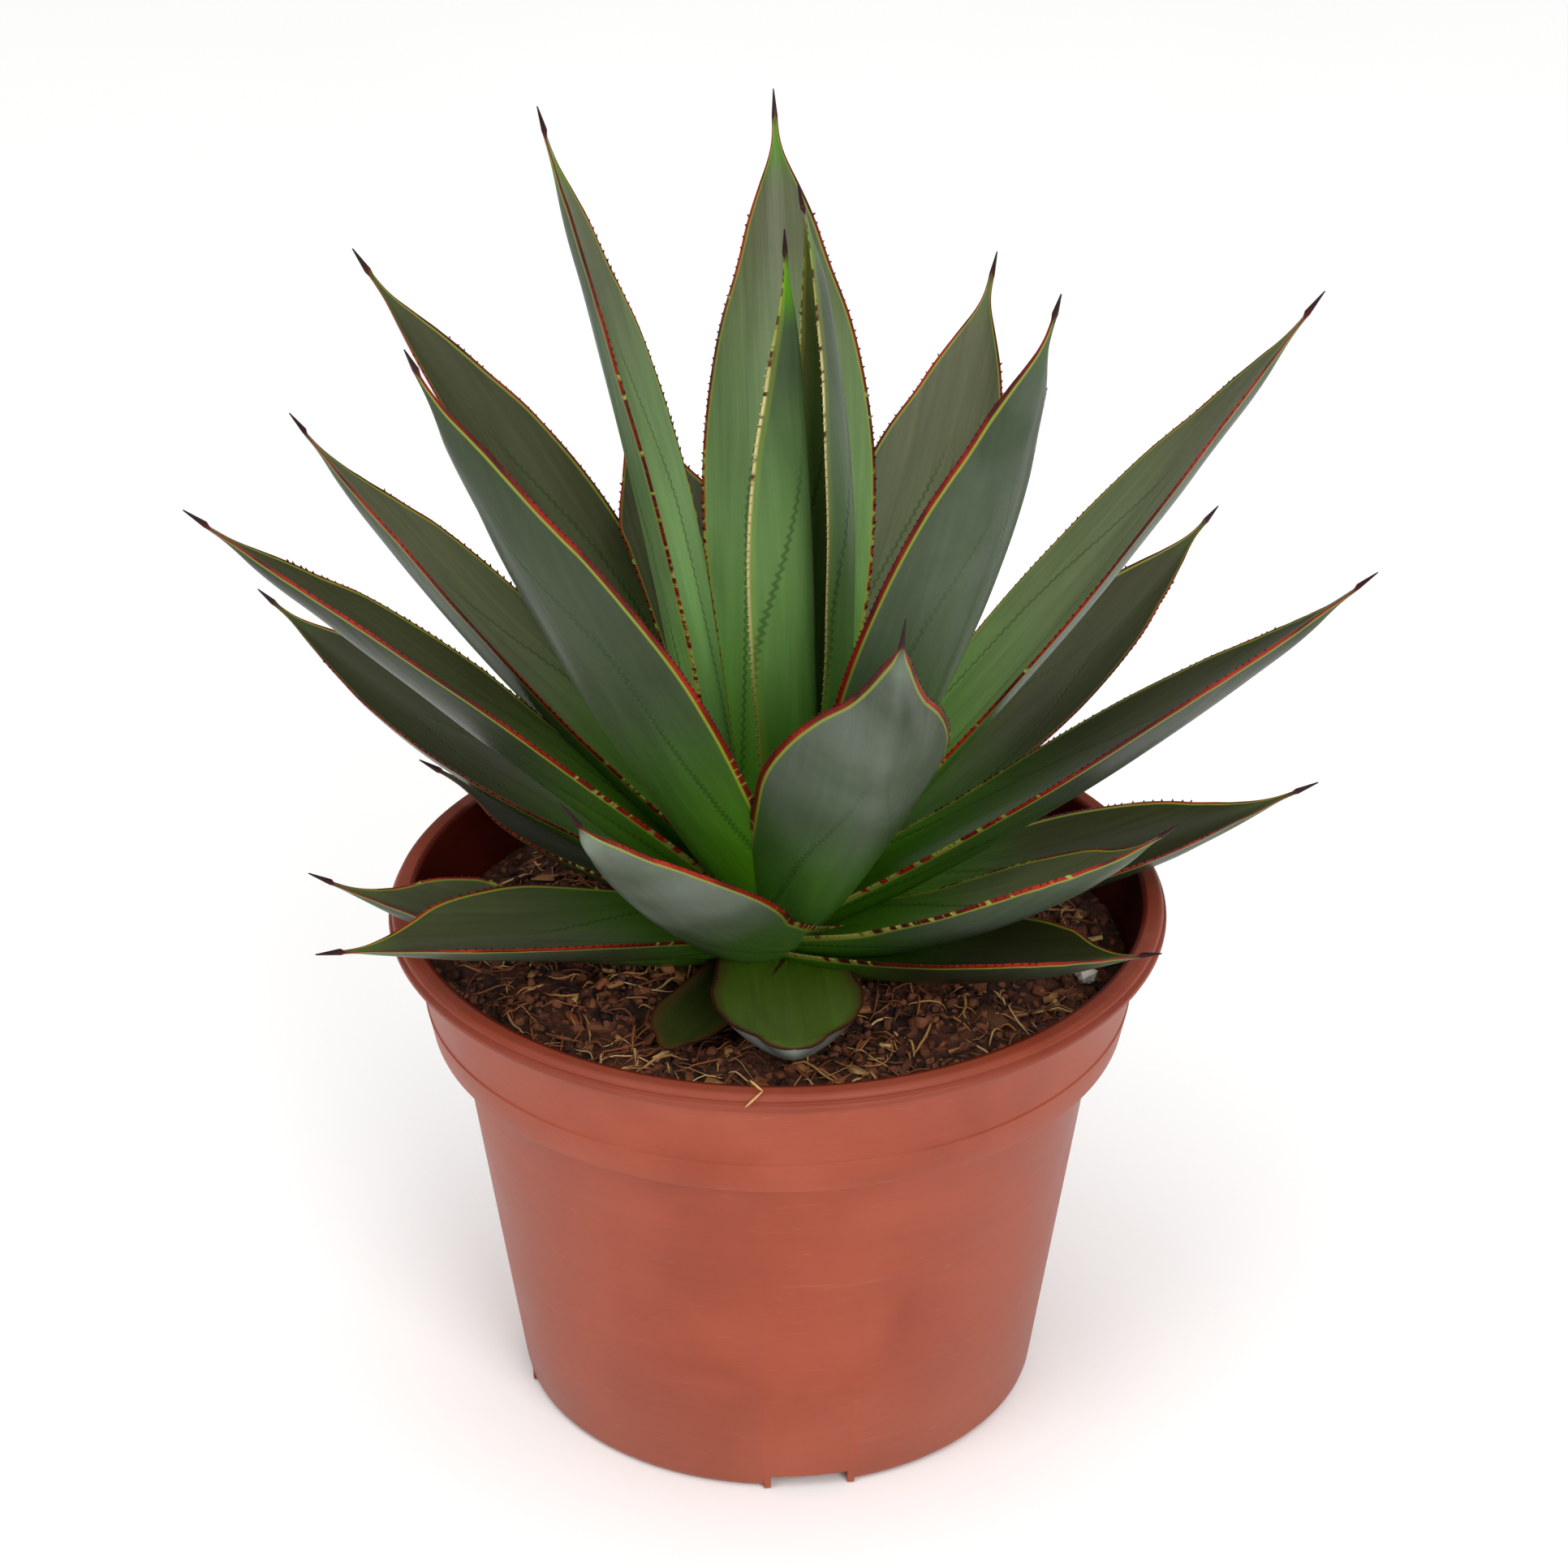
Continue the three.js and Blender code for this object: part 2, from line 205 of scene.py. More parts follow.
# A smooth value between stations: cubic, its slopes taken from the neighbours on both sides.
def smoothBetween(stops, values, place):
    last = len(stops) - 1
    i = max(j for j in range(last) if stops[j] <= place or j == 0)
    a, b = stops[i], stops[i + 1]
    before, after = max(i - 1, 0), min(i + 2, last)
    slopeA = (values[i + 1] - values[before]) / (b - stops[before])
    slopeB = (values[after] - values[i]) / (stops[after] - a)
    t = (place - a) / (b - a)
    run = b - a
    return (values[i] * (2 * t ** 3 - 3 * t ** 2 + 1) + slopeA * run * (t ** 3 - 2 * t ** 2 + t)
            + values[i + 1] * (3 * t ** 2 - 2 * t ** 3) + slopeB * run * (t ** 3 - t ** 2))


# Carries the line of the leaf on from its last whole section, bending as before, to inside the stem.
def carriedToStem(sections):
    while len(sections) < 40:
        end, prior, older = sections[-1], sections[-2], sections[-3]
        place = end["middle"] - axis
        if math.hypot(place.x, place.y) < leafShape["buried"] or place.z < stemLow.z + 0.02:
            break
        step = end["middle"] - prior["middle"]
        turnBack = (prior["middle"] - older["middle"]).normalized()
        heading = (step.normalized() * 2 - turnBack).normalized()
        reach = min(step.length, 5 * mm)
        share = reach / step.length
        heading = (step.normalized() * (1 - share) + heading * share).normalized()
        sections.append({
            "middle": end["middle"] + heading * reach,
            "across": (end["across"] * (1 + share) - prior["across"] * share).normalized(),
            "inner": (end["inner"] * (1 + share) - prior["inner"] * share).normalized(),
            "half": max(end["half"] * 0.97, 5 * mm), "rise": end["rise"] * 0.98, "keel": end["keel"] * 1.01,
        })
    return sections


def leafLine(node):
    sections = carriedToStem(leafSections(node))
    stops = [0]
    for prior, section in zip(sections, sections[1:]):
        stops.append(stops[-1] + (section["middle"] - prior["middle"]).length)

    def at(place):
        found = {key: smoothBetween(stops, [s[key] for s in sections], place) for key in sections[0]}
        found["across"].normalize()
        found["inner"] = (found["inner"] - found["across"] * found["inner"].dot(found["across"])).normalized()
        return found
    return at, stops[-1]


# A sheet of quads is rolled round the leaf's line: its width becomes the way round, its height the length.
def leafBlade(name, node):
    look = {**usualLook, **leafLooks.get(name, {})}
    at, length = leafLine(node)
    spine = look["spine"] * mm
    seed = random.Random(name).uniform(0, 50)
    around, lengthwise = leafShape["around"], leafShape["lengthwise"]
    mesh = bmesh.new()
    placeLayer = mesh.verts.layers.float_vector.new("leafPlace")
    faceLayer = mesh.verts.layers.float_vector.new("leafFace")
    toneLayer = mesh.verts.layers.float_vector.new("leafTone")
    thornLayer = mesh.verts.layers.float.new("leafThorn")
    lineLayer = mesh.verts.layers.float.new("leafLine")
    bmesh.ops.create_grid(mesh, x_segments=around, y_segments=lengthwise, size=0.5)
    stations = []
    for i in range(lengthwise + 1):
        place = length * (i / lengthwise) ** 1.18
        station = at(place)
        station["place"] = place
        if spine == 0:    # a blunt leaf with a rounded end
            roundEnd = math.sqrt(1 - (1 - min(place / leafShape["bluntLength"], 1)) ** 2)
            station["half"] = max(station["half"], leafShape["bluntHalf"] * look["size"]) * roundEnd + 0.1 * mm
            station["keel"] = max(station["keel"], leafShape["bluntKeel"] * look["size"]) * roundEnd + 0.1 * mm
            station["rise"] *= roundEnd
        elif place < spine:
            needle = leafShape["spineTip"] + (leafShape["spineBase"] - leafShape["spineTip"]) * place / spine
            station["half"] = needle / 2
            station["keel"] = needle / 2
            station["rise"] = 0
        else:
            left = max(1 - (place - spine) / look.get("neck", leafShape["neck"]), 0)
            past = 1 - left * left
            station["half"] = station["half"] * past + leafShape["spineBase"] / 2 * (1 - past)
            station["keel"] = station["keel"] * past + leafShape["spineBase"] / 2 * (1 - past)
            station["rise"] *= past
            station["narrowed"] = past
        stations.append(station)
    for vert in mesh.verts:
        turn = 2 * math.pi * (vert.co.x + 0.5)
        station = stations[round((vert.co.y + 0.5) * lengthwise)]
        side, face = math.sin(turn), math.cos(turn)
        half, keel = station["half"], station["keel"]
        thin = min(look.get("margin", leafShape["marginThick"]) / 2, leafShape["marginShare"] * half, keel)
        if station["place"] < spine:
            thin = half
        rim = math.copysign(abs(face) ** leafShape["rimBlunt"], face) * thin
        if face < 0:
            ridge = leafShape["ridge"]
            rim -= (keel - thin) * ((1 - ridge) * (1 - side * side) + ridge * (1 - abs(side)))
        place = station["place"]
        wave = noise.noise(Vector((place * 38, seed + (3 if side > 0 else 0), 0)))
        lift = leafShape["waviness"] * wave * side * side * smoothShare(0, 0.03, place)
        furrow = noise.noise(Vector((side * half * 700, place * 9, seed))) * leafShape["furrow"]
        if station["place"] < spine:
            lift = furrow = 0
        vert.co = (station["middle"] + station["across"] * (side * half)
                   + station["inner"] * (station["rise"] * side * side + rim + lift + furrow))
        edge = half * (1 - abs(side)) / max(station.get("narrowed", 1), 0.45)
        vert[placeLayer] = Vector((side * half / mm, edge / mm, place / mm))
        vert[faceLayer] = Vector((0.5 + 0.5 * face, 1 - place / length, look["red"]))
        vert[toneLayer] = Vector((look["youth"], look["bloom"], look["shade"]))
        vert[thornLayer] = 1 - smoothShare(spine - 2 * mm, spine + 3 * mm, place) if spine else 0
        vert[lineLayer] = look["line"]
    bmesh.ops.remove_doubles(mesh, verts=mesh.verts, dist=0.002 * mm)
    openEdges = [edge for edge in mesh.edges if edge.is_boundary]
    bmesh.ops.holes_fill(mesh, edges=openEdges, sides=0)
    bmesh.ops.recalc_face_normals(mesh, faces=mesh.faces)
    addTeeth(mesh, at, length, spine, look, (placeLayer, faceLayer, toneLayer, thornLayer))
    return mesh


# Small hooked teeth along both margins: four-sided cones that lean towards the tip.
def addTeeth(mesh, at, length, spine, look, layers):
    rng = random.Random(round(length * 1e6))
    placeLayer, faceLayer, toneLayer, thornLayer = layers
    for side in (-1, 1):
        place = spine + 0.75 * look.get("neck", leafShape["neck"])
        while place < 0.86 * length:
            place += leafShape["toothSpacing"] * rng.uniform(0.7, 1.35)
            station = at(place)
            ahead = (at(place - 1 * mm)["middle"] - station["middle"]).normalized()
            slope = math.atan2(2 * station["rise"], station["half"])
            out = station["across"] * side * math.cos(slope) + station["inner"] * math.sin(slope)
            lean = (out + ahead * rng.uniform(0.3, 0.9)).normalized()
            height = leafShape["toothHeight"] * rng.uniform(0.6, 1.3)
            root = (station["middle"] + station["across"] * side * station["half"]
                    + station["inner"] * station["rise"])
            turnIn = Matrix((ahead, ahead.cross(lean).normalized(), lean)).transposed()
            turnIn = turnIn.to_4x4()
            squash = Matrix.Diagonal((1, 0.6, 1, 1))
            move = Matrix.Translation(root + lean * height * 0.25)
            cone = bmesh.ops.create_cone(
                mesh, cap_ends=True, segments=5, radius1=leafShape["toothWidth"] / 2,
                radius2=0.06 * mm, depth=height * 1.5, matrix=move @ turnIn @ squash)
            for vert in cone["verts"]:
                vert[placeLayer] = Vector((side * station["half"] / mm, 0.2, place / mm))
                vert[faceLayer] = Vector((0.5, 1 - place / length, look["red"]))
                vert[toneLayer] = Vector((look["youth"], look["bloom"], look["shade"]))
                vert[thornLayer] = 0.35 if look["red"] > 0.2 else 0.0


# Living agave skin: a waxed cuticle over green flesh. Pale bloom lies in clouds over blue-green, the foot
# is bright green, fine lines run lengthwise, and a horny red-brown rim with a yellow line edges the blade.
skin = {
    "oldInner": "#55573f", "freshInner": "#8cba6e", "oldOuter": "#323f28", "freshOuter": "#769e58",
    # olive and oliveOuter: what shade darkens a leaf towards, partly its age and partly painted shade
    "olive": "#2c2f14", "oliveOuter": "#262c1c", "foot": "#457c04", "nub": "#48600f",
    "bloom": "#888e86", "yellowLine": "#8c9a2c",
    "cream": "#d8c48a", "paleRim": "#8a8a40", "rim": "#3a0a0c", "rimBright": "#901f13",
    "brownRim": "#3c2014", "thorn": "#261010", "imprint": "#1a360f", "brownEdge": "#4a321a",
    "rimWidth": 0.6, "lineWidth": 0.85, "dashSpacing": 2.1, "streakSpacing": 1.1, "cloudSize": 26,
    "imprintStart": 38, "imprintSpread": 60, "imprintWidth": 9, "imprintLine": 0.55, "brownWidth": 3.5,
}


def agaveSkin():
    material, tree = newMaterial("waxy agave leaf skin")
    place = addNode(tree, "Attribute", {}, attribute_name="leafPlace")["Vector"]
    faces = addNode(tree, "Attribute", {}, attribute_name="leafFace")["Vector"]
    tones = addNode(tree, "Attribute", {}, attribute_name="leafTone")["Vector"]
    thorn = addNode(tree, "Attribute", {}, attribute_name="leafThorn")["Fac"]
    hasLine = addNode(tree, "Attribute", {}, attribute_name="leafLine")["Fac"]
    where = addNode(tree, "TexCoord", {})["Object"]
    across, edge, fromTip = addNode(tree, "SeparateXYZ", {"Vector": place})[:]
    inner, up, red = addNode(tree, "SeparateXYZ", {"Vector": faces})[:]
    youth, bloom, shade = addNode(tree, "SeparateXYZ", {"Vector": tones})[:]
    onInside = addNode(tree, "MapRange", {"Value": inner, "From Min": 0.42, "From Max": 0.58})["Result"]

    # fine lengthwise lines, broader bands, and clouds of wax
    drawn = addNode(tree, "VectorMath", {0: place, 1: (1 / skin["streakSpacing"], 0, 0.03)},
                    operation="MULTIPLY")["Vector"]
    streaks = addNode(tree, "TexNoise", {"Vector": drawn, "Scale": 1.0, "Detail": 4.0})["Fac"]
    broad = addNode(tree, "VectorMath", {0: place, 1: (0.17, 0, 0.022)}, operation="MULTIPLY")["Vector"]
    bands = addNode(tree, "TexNoise", {
        "Vector": broad, "Scale": 1.0, "Detail": 3.0, "Distortion": 0.5})["Fac"]
    clouds = addNode(tree, "TexNoise", {
        "Vector": where, "Scale": 1000 / skin["cloudSize"], "Detail": 5.0, "Distortion": 0.25})["Fac"]

    # flesh colour: old leaves olive, fresh ones bright, every foot greener; shade darkens a leaf towards olive,
    # partly for age and partly as painted shade for leaves lying in shadow
    ripening = addNode(tree, "MapRange", {
        "Value": up, "From Min": 0.36, "From Max": 0.8, "To Min": 1.0, "To Max": 0.05})["Result"]
    fresh = addNode(tree, "Math", {0: youth, 1: ripening}, operation="MULTIPLY")["Value"]
    insideGreen = addNode(tree, "MixRGB", {
        "Fac": fresh, "Color1": linearColour(skin["oldInner"]),
        "Color2": linearColour(skin["freshInner"])})["Color"]
    insideAgedAndShaded = addNode(tree, "MixRGB", {
        "Fac": shade, "Color1": insideGreen, "Color2": linearColour(skin["olive"])})["Color"]
    outsideGreen = addNode(tree, "MixRGB", {
        "Fac": fresh, "Color1": linearColour(skin["oldOuter"]),
        "Color2": linearColour(skin["freshOuter"])})["Color"]
    outsideAgedAndShaded = addNode(tree, "MixRGB", {
        "Fac": shade, "Color1": outsideGreen, "Color2": linearColour(skin["oliveOuter"])})["Color"]
    body = addNode(tree, "MixRGB", {"Fac": onInside, "Color1": outsideAgedAndShaded, "Color2": insideAgedAndShaded})["Color"]
    footShare = addNode(tree, "MapRange", {
        "Value": up, "From Min": 0.52, "From Max": 0.08, "To Max": 0.92},
        interpolation_type="SMOOTHSTEP")["Result"]
    tipShare = addNode(tree, "MapRange", {
        "Value": fromTip, "From Min": 22, "From Max": 10, "To Max": 1.2},
        interpolation_type="SMOOTHSTEP")["Result"]
    tipFresh = addNode(tree, "Math", {0: tipShare, 1: youth}, operation="MULTIPLY", use_clamp=True)["Value"]
    freshShare = addNode(tree, "Math", {0: footShare, 1: tipFresh}, operation="MAXIMUM")["Value"]
    footed = addNode(tree, "MixRGB", {
        "Fac": freshShare, "Color1": body, "Color2": linearColour(skin["foot"])})["Color"]
    noLine = addNode(tree, "Math", {0: 1.0, 1: hasLine}, operation="SUBTRACT")["Value"]
    nubShare = addNode(tree, "Math", {0: noLine, 1: onInside}, operation="MULTIPLY")["Value"]
    nubShare = addNode(tree, "Math", {0: nubShare, 1: 0.9}, operation="MULTIPLY")["Value"]
    # the nub colour is darkened towards olive by shade: painted shade on the small outer nub lying in shadow
    nubTone = addNode(tree, "MixRGB", {
        "Fac": shade, "Color1": linearColour(skin["nub"]), "Color2": linearColour(skin["olive"])})["Color"]
    footed = addNode(tree, "MixRGB", {"Fac": nubShare, "Color1": footed, "Color2": nubTone})["Color"]
    bandTone = addNode(tree, "MapRange", {
        "Value": bands, "From Min": 0.3, "From Max": 0.7, "To Min": 0.8, "To Max": 1.14})["Result"]
    banded = addNode(tree, "MixRGB", {"Fac": 1.0, "Color1": footed, "Color2": bandTone},
                     blend_type="MULTIPLY")["Color"]
    streakTone = addNode(tree, "MapRange", {
        "Value": streaks, "From Min": 0.3, "From Max": 0.7, "To Min": 0.91, "To Max": 1.07})["Result"]
    streaked = addNode(tree, "MixRGB", {"Fac": 1.0, "Color1": banded, "Color2": streakTone},
                       blend_type="MULTIPLY")["Color"]

    # the print that a neighbour's toothed edge left while both were folded in the bud
    acrossSize = addNode(tree, "Math", {0: across}, operation="ABSOLUTE")["Value"]
    spread = addNode(tree, "MapRange", {
        "Value": fromTip, "From Min": skin["imprintStart"],
        "From Max": skin["imprintStart"] + skin["imprintSpread"], "To Max": skin["imprintWidth"]},
        interpolation_type="SMOOTHSTEP")["Result"]
    toothed = addNode(tree, "Math", {0: fromTip, 1: skin["dashSpacing"] / 2}, operation="PINGPONG")["Value"]
    notched = addNode(tree, "Math", {0: toothed, 1: 0.55, 2: spread}, operation="MULTIPLY_ADD")["Value"]
    offLine = addNode(tree, "Math", {0: acrossSize, 1: notched}, operation="SUBTRACT")["Value"]
    offSize = addNode(tree, "Math", {0: offLine}, operation="ABSOLUTE")["Value"]
    onLine = addNode(tree, "MapRange", {
        "Value": offSize, "From Min": skin["imprintLine"], "From Max": 0.1, "To Min": 0, "To Max": 0.5},
        interpolation_type="SMOOTHSTEP")["Result"]
    below = addNode(tree, "MapRange", {
        "Value": fromTip, "From Min": skin["imprintStart"] + 6, "From Max": skin["imprintStart"] + 20})["Result"]
    imprint = addNode(tree, "Math", {0: onLine, 1: below}, operation="MULTIPLY")["Value"]
    printed = addNode(tree, "MixRGB", {
        "Fac": imprint, "Color1": streaked, "Color2": linearColour(skin["imprint"])})["Color"]

    # bloom: thick on outer faces, thin inside, rubbed off in clouds, and raised along the keel as a painted
    # highlight
    cloudShare = addNode(tree, "MapRange", {
        "Value": clouds, "From Min": 0.34, "From Max": 0.62, "To Min": 0.3, "To Max": 1.0})["Result"]
    faceShare = addNode(tree, "MapRange", {"Value": onInside, "To Min": 0.78, "To Max": 0.06})["Result"]
    keelHighlightShare = addNode(tree, "MapRange", {
        "Value": acrossSize, "From Min": 0, "From Max": 3.5, "To Min": 1.35, "To Max": 1.0},
        interpolation_type="SMOOTHSTEP")["Result"]
    dryShare = addNode(tree, "MapRange", {
        "Value": up, "From Min": 0.3, "From Max": 0.72, "To Min": 0.25},
        interpolation_type="SMOOTHSTEP")["Result"]
    wax = addNode(tree, "Math", {0: bloom, 1: cloudShare}, operation="MULTIPLY")["Value"]
    wax = addNode(tree, "Math", {0: wax, 1: faceShare}, operation="MULTIPLY")["Value"]
    wax = addNode(tree, "Math", {0: wax, 1: keelHighlightShare}, operation="MULTIPLY")["Value"]
    wax = addNode(tree, "Math", {0: wax, 1: dryShare}, operation="MULTIPLY", use_clamp=True)["Value"]
    waxed = addNode(tree, "MixRGB", {
        "Fac": wax, "Color1": printed, "Color2": linearColour(skin["bloom"])})["Color"]

    # the edge: a yellow line, then the horny rim, red-brown near the tip and broken into dashes below
    lineShare = addNode(tree, "MapRange", {
        "Value": edge, "From Min": skin["lineWidth"] + 0.2, "From Max": skin["lineWidth"] - 0.15,
        "To Max": 0.8})["Result"]
    withLine = addNode(tree, "Math", {0: lineShare, 1: hasLine}, operation="MULTIPLY")["Value"]
    brownShare = addNode(tree, "MapRange", {
        "Value": edge, "From Min": skin["brownWidth"], "From Max": 0.3, "To Max": 0.8},
        interpolation_type="SMOOTHSTEP")["Result"]
    brownInside = addNode(tree, "Math", {0: brownShare, 1: onInside}, operation="MULTIPLY")["Value"]
    browned = addNode(tree, "Math", {0: brownInside, 1: noLine}, operation="MULTIPLY")["Value"]
    edged = addNode(tree, "MixRGB", {
        "Fac": browned, "Color1": waxed, "Color2": linearColour(skin["brownEdge"])})["Color"]
    lined = addNode(tree, "MixRGB", {
        "Fac": withLine, "Color1": edged, "Color2": linearColour(skin["yellowLine"])})["Color"]
    dashPlace = addNode(tree, "VectorMath", {0: place, 1: (0.2, 0, 1 / skin["dashSpacing"])},
                        operation="MULTIPLY")["Vector"]
    dashes = addNode(tree, "TexNoise", {"Vector": dashPlace, "Scale": 1.0, "Detail": 1.0})["Fac"]
    down = addNode(tree, "Math", {0: 1.0, 1: up}, operation="SUBTRACT")["Value"]
    past = addNode(tree, "Math", {0: down, 1: red}, operation="SUBTRACT")["Value"]
    broken = addNode(tree, "Math", {0: dashes, 1: 1.5, 2: past}, operation="MULTIPLY_ADD")["Value"]
    redShare = addNode(tree, "MapRange", {"Value": broken, "From Min": 0.8, "From Max": 0.7})["Result"]
    rimShift = addNode(tree, "MapRange", {"Value": bands, "From Min": 0.36, "From Max": 0.62})["Result"]
    maroon = addNode(tree, "MixRGB", {
        "Fac": rimShift, "Color1": linearColour(skin["rim"]),
        "Color2": linearColour(skin["rimBright"])})["Color"]
    redTone = addNode(tree, "MixRGB", {
        "Fac": noLine, "Color1": maroon, "Color2": linearColour(skin["brownRim"])})["Color"]
    creamLeaf = addNode(tree, "MapRange", {"Value": red, "From Min": 0.3, "From Max": 0.15})["Result"]
    creamPart = addNode(tree, "MapRange", {"Value": up, "From Min": 0.86, "From Max": 0.74})["Result"]
    creamFoot = addNode(tree, "MapRange", {"Value": up, "From Min": 0.28, "From Max": 0.42})["Result"]
    creamPart = addNode(tree, "Math", {0: creamPart, 1: creamFoot}, operation="MULTIPLY")["Value"]
    creamShare = addNode(tree, "Math", {0: creamLeaf, 1: creamPart}, operation="MULTIPLY")["Value"]
    paleTone = addNode(tree, "MixRGB", {
        "Fac": creamShare, "Color1": linearColour(skin["paleRim"]),
        "Color2": linearColour(skin["cream"])})["Color"]
    rimTone = addNode(tree, "MixRGB", {"Fac": redShare, "Color1": paleTone, "Color2": redTone})["Color"]
    rimPlace = addNode(tree, "Math", {0: creamLeaf, 1: 0.36, 2: edge}, operation="MULTIPLY_ADD")["Value"]
    rimShare = addNode(tree, "MapRange", {
        "Value": rimPlace, "From Min": skin["rimWidth"] + 0.15, "From Max": skin["rimWidth"] - 0.15})["Result"]
    rimmed = addNode(tree, "MixRGB", {"Fac": rimShare, "Color1": lined, "Color2": rimTone})["Color"]
    thorned = addNode(tree, "MixRGB", {
        "Fac": thorn, "Color1": rimmed, "Color2": linearColour(skin["thorn"])})["Color"]

    # wax scatters light, bare skin and horn are glossier
    rough = addNode(tree, "MapRange", {"Value": wax, "To Min": 0.34, "To Max": 0.52})["Result"]
    relief = addNode(tree, "Math", {0: bands, 1: 0.8, 2: streaks}, operation="MULTIPLY_ADD")["Value"]
    pressed = addNode(tree, "Math", {0: relief, 1: imprint}, operation="SUBTRACT")["Value"]
    bump = addNode(tree, "Bump", {"Strength": 0.5, "Distance": 0.25 * mm, "Height": pressed})["Normal"]
    shader = addNode(tree, "BsdfPrincipled", {
        "Base Color": thorned, "Roughness": rough, "IOR": 1.42, "Specular IOR Level": 0.17,
        "Normal": bump})["BSDF"]
    addNode(tree, "OutputMaterial", {"Surface": shader})
    return material


leafSkin = agaveSkin()
for name in leafNames:
    finishPiece(leafBlade(name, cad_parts[name]), "blade_" + name, leafSkin, name)
print("leaves laid:", len(leafNames))


# ---- pot: a thin turned shell with a rolled lip, a stepped band and drain channels under the floor
potShape = {
    "steps": 192, "wall": 1.5 * mm, "foot": 57.5 * mm, "footRound": 2 * mm, "bandHeight": 24.6 * mm,
    "bandStep": 5.5 * mm, "bandDraft": 0.19, "lipHeight": 4.2 * mm, "lipReach": 4.2 * mm,
    "lineAbove": 7.6 * mm, "lineDepth": 0.3 * mm, "grooveDepth": 0.8 * mm,
    "channels": 4, "channelWidth": 17 * mm, "channelDepth": 3.3 * mm, "channelStart": 20 * mm,
    "channelTurn": 7, "holeRadius": 4 * mm, "holePlaces": (29 * mm, 46 * mm),
}


def potOutline():
    p = potShape
    bandTop = potHeight - p["lipHeight"]
    bandBottom = bandTop - p["bandHeight"]
    top = rimRadius - p["lipReach"]
    bandFoot = top - p["bandDraft"] * p["bandHeight"]
    bodyTop = bandFoot - p["bandStep"]
    line = bandBottom + p["lineAbove"]
    lineRadius = bandFoot + p["bandDraft"] * p["lineAbove"]
    stepTop = bandBottom + p["wall"]
    lip = p["lipHeight"]
    # radius, height, corner round
    outside = [
        (p["foot"], 0, p["footRound"]),
        (bodyTop, bandBottom, 1.2 * mm),
        (bandFoot, bandBottom, 0.7 * mm),
        (lineRadius + p["lineDepth"] / 2, line, 0.1 * mm),
        (lineRadius - p["lineDepth"] / 2, line + p["lineDepth"], 0.1 * mm),
        (top, bandTop, 0.8 * mm),
        (rimRadius, bandTop + 0.3 * mm, 0.9 * mm),
        (rimRadius - 0.1 * mm, bandTop + 0.45 * lip, 0.3 * mm),
        (rimRadius - p["grooveDepth"] - 0.3 * mm, bandTop + 0.55 * lip, 0.3 * mm),
        (rimRadius - 0.7 * mm, bandTop + 0.7 * lip, 0.3 * mm),
        (rimRadius - 1.2 * mm, potHeight, 0.9 * mm),
        (top - p["wall"] + 0.2 * mm, potHeight, 0.8 * mm),
    ]
    inside = [
        (top - p["wall"], bandTop - 2 * mm, 0.5 * mm),
        (bandFoot - p["wall"], stepTop, 0.8 * mm),
        (bodyTop - p["wall"], stepTop, 0.8 * mm),
        (p["foot"] - p["wall"], p["wall"], 1.5 * mm),
    ]
    return outside + inside


def turnedShell(outline, floorLow, floorHigh, steps):
    mesh = bmesh.new()
    corners = [(mesh.verts.new((radius, 0, height)), rounding) for radius, height, rounding in outline]
    verts = [mesh.verts.new((0, 0, floorLow))] + [vert for vert, _ in corners]
    verts.append(mesh.verts.new((0, 0, floorHigh)))
    for a, b in zip(verts, verts[1:]):
        mesh.edges.new((a, b))
    for vert, rounding in corners:
        bmesh.ops.bevel(mesh, geom=[vert], offset=rounding, offset_type="OFFSET", affect="VERTICES",
                        segments=4, profile=0.5, material=-1, clamp_overlap=True)
    bmesh.ops.spin(mesh, geom=mesh.verts[:] + mesh.edges[:], cent=(0, 0, 0), axis=(0, 0, 1), dvec=(0, 0, 0),
                   angle=2 * math.pi, steps=steps, use_merge=True, use_normal_flip=False, use_duplicate=False)
    bmesh.ops.remove_doubles(mesh, verts=mesh.verts, dist=0.005 * mm)
    bmesh.ops.recalc_face_normals(mesh, faces=mesh.faces)
    bmesh.ops.translate(mesh, verts=mesh.verts, vec=axis)
    return mesh


def spareObject(mesh, name):
    data = bpy.data.meshes.new(name)
    mesh.to_mesh(data)
    mesh.free()
    spare = bpy.data.objects.new(name, data)
    bpy.context.scene.collection.objects.link(spare)
    return spare


# Boxes that lie along the channels, and upright rods through the drain holes.
def channelBoxes(width, low, high, start, end):
    mesh = bmesh.new()
    for i in range(potShape["channels"]):
        turn = math.radians(potShape["channelTurn"]) + 2 * math.pi * i / potShape["channels"] - math.pi / 2
        size = Matrix.Diagonal((end - start, width, high - low, 1))
        move = Matrix.Translation(((start + end) / 2, 0, (low + high) / 2))
        spot = Matrix.Translation(axis) @ Matrix.Rotation(turn, 4, "Z") @ move @ size
        bmesh.ops.create_cube(mesh, size=1, matrix=spot)
    return mesh


def drainRods():
    mesh = bmesh.new()
    for i in range(potShape["channels"]):
        turn = math.radians(potShape["channelTurn"]) + 2 * math.pi * i / potShape["channels"] - math.pi / 2
        for radius in potShape["holePlaces"]:
            spot = Matrix.Translation(axis) @ Matrix.Rotation(turn, 4, "Z") @ Matrix.Translation((radius, 0, 0))
            bmesh.ops.create_cone(mesh, cap_ends=True, segments=40, radius1=potShape["holeRadius"],
                                  radius2=potShape["holeRadius"], depth=30 * mm, matrix=spot)
    return mesh


def joinedOrCut(target, tool, operation):
    change = target.modifiers.new(operation, "BOOLEAN")
    change.object = tool
    change.operation = operation
    change.solver = "EXACT"
    change.use_self = operation == "UNION"
    bpy.context.view_layer.update()
    result = bpy.data.meshes.new_from_object(target.evaluated_get(bpy.context.evaluated_depsgraph_get()))
    target.modifiers.clear()
    target.data = result
    bpy.data.objects.remove(tool)


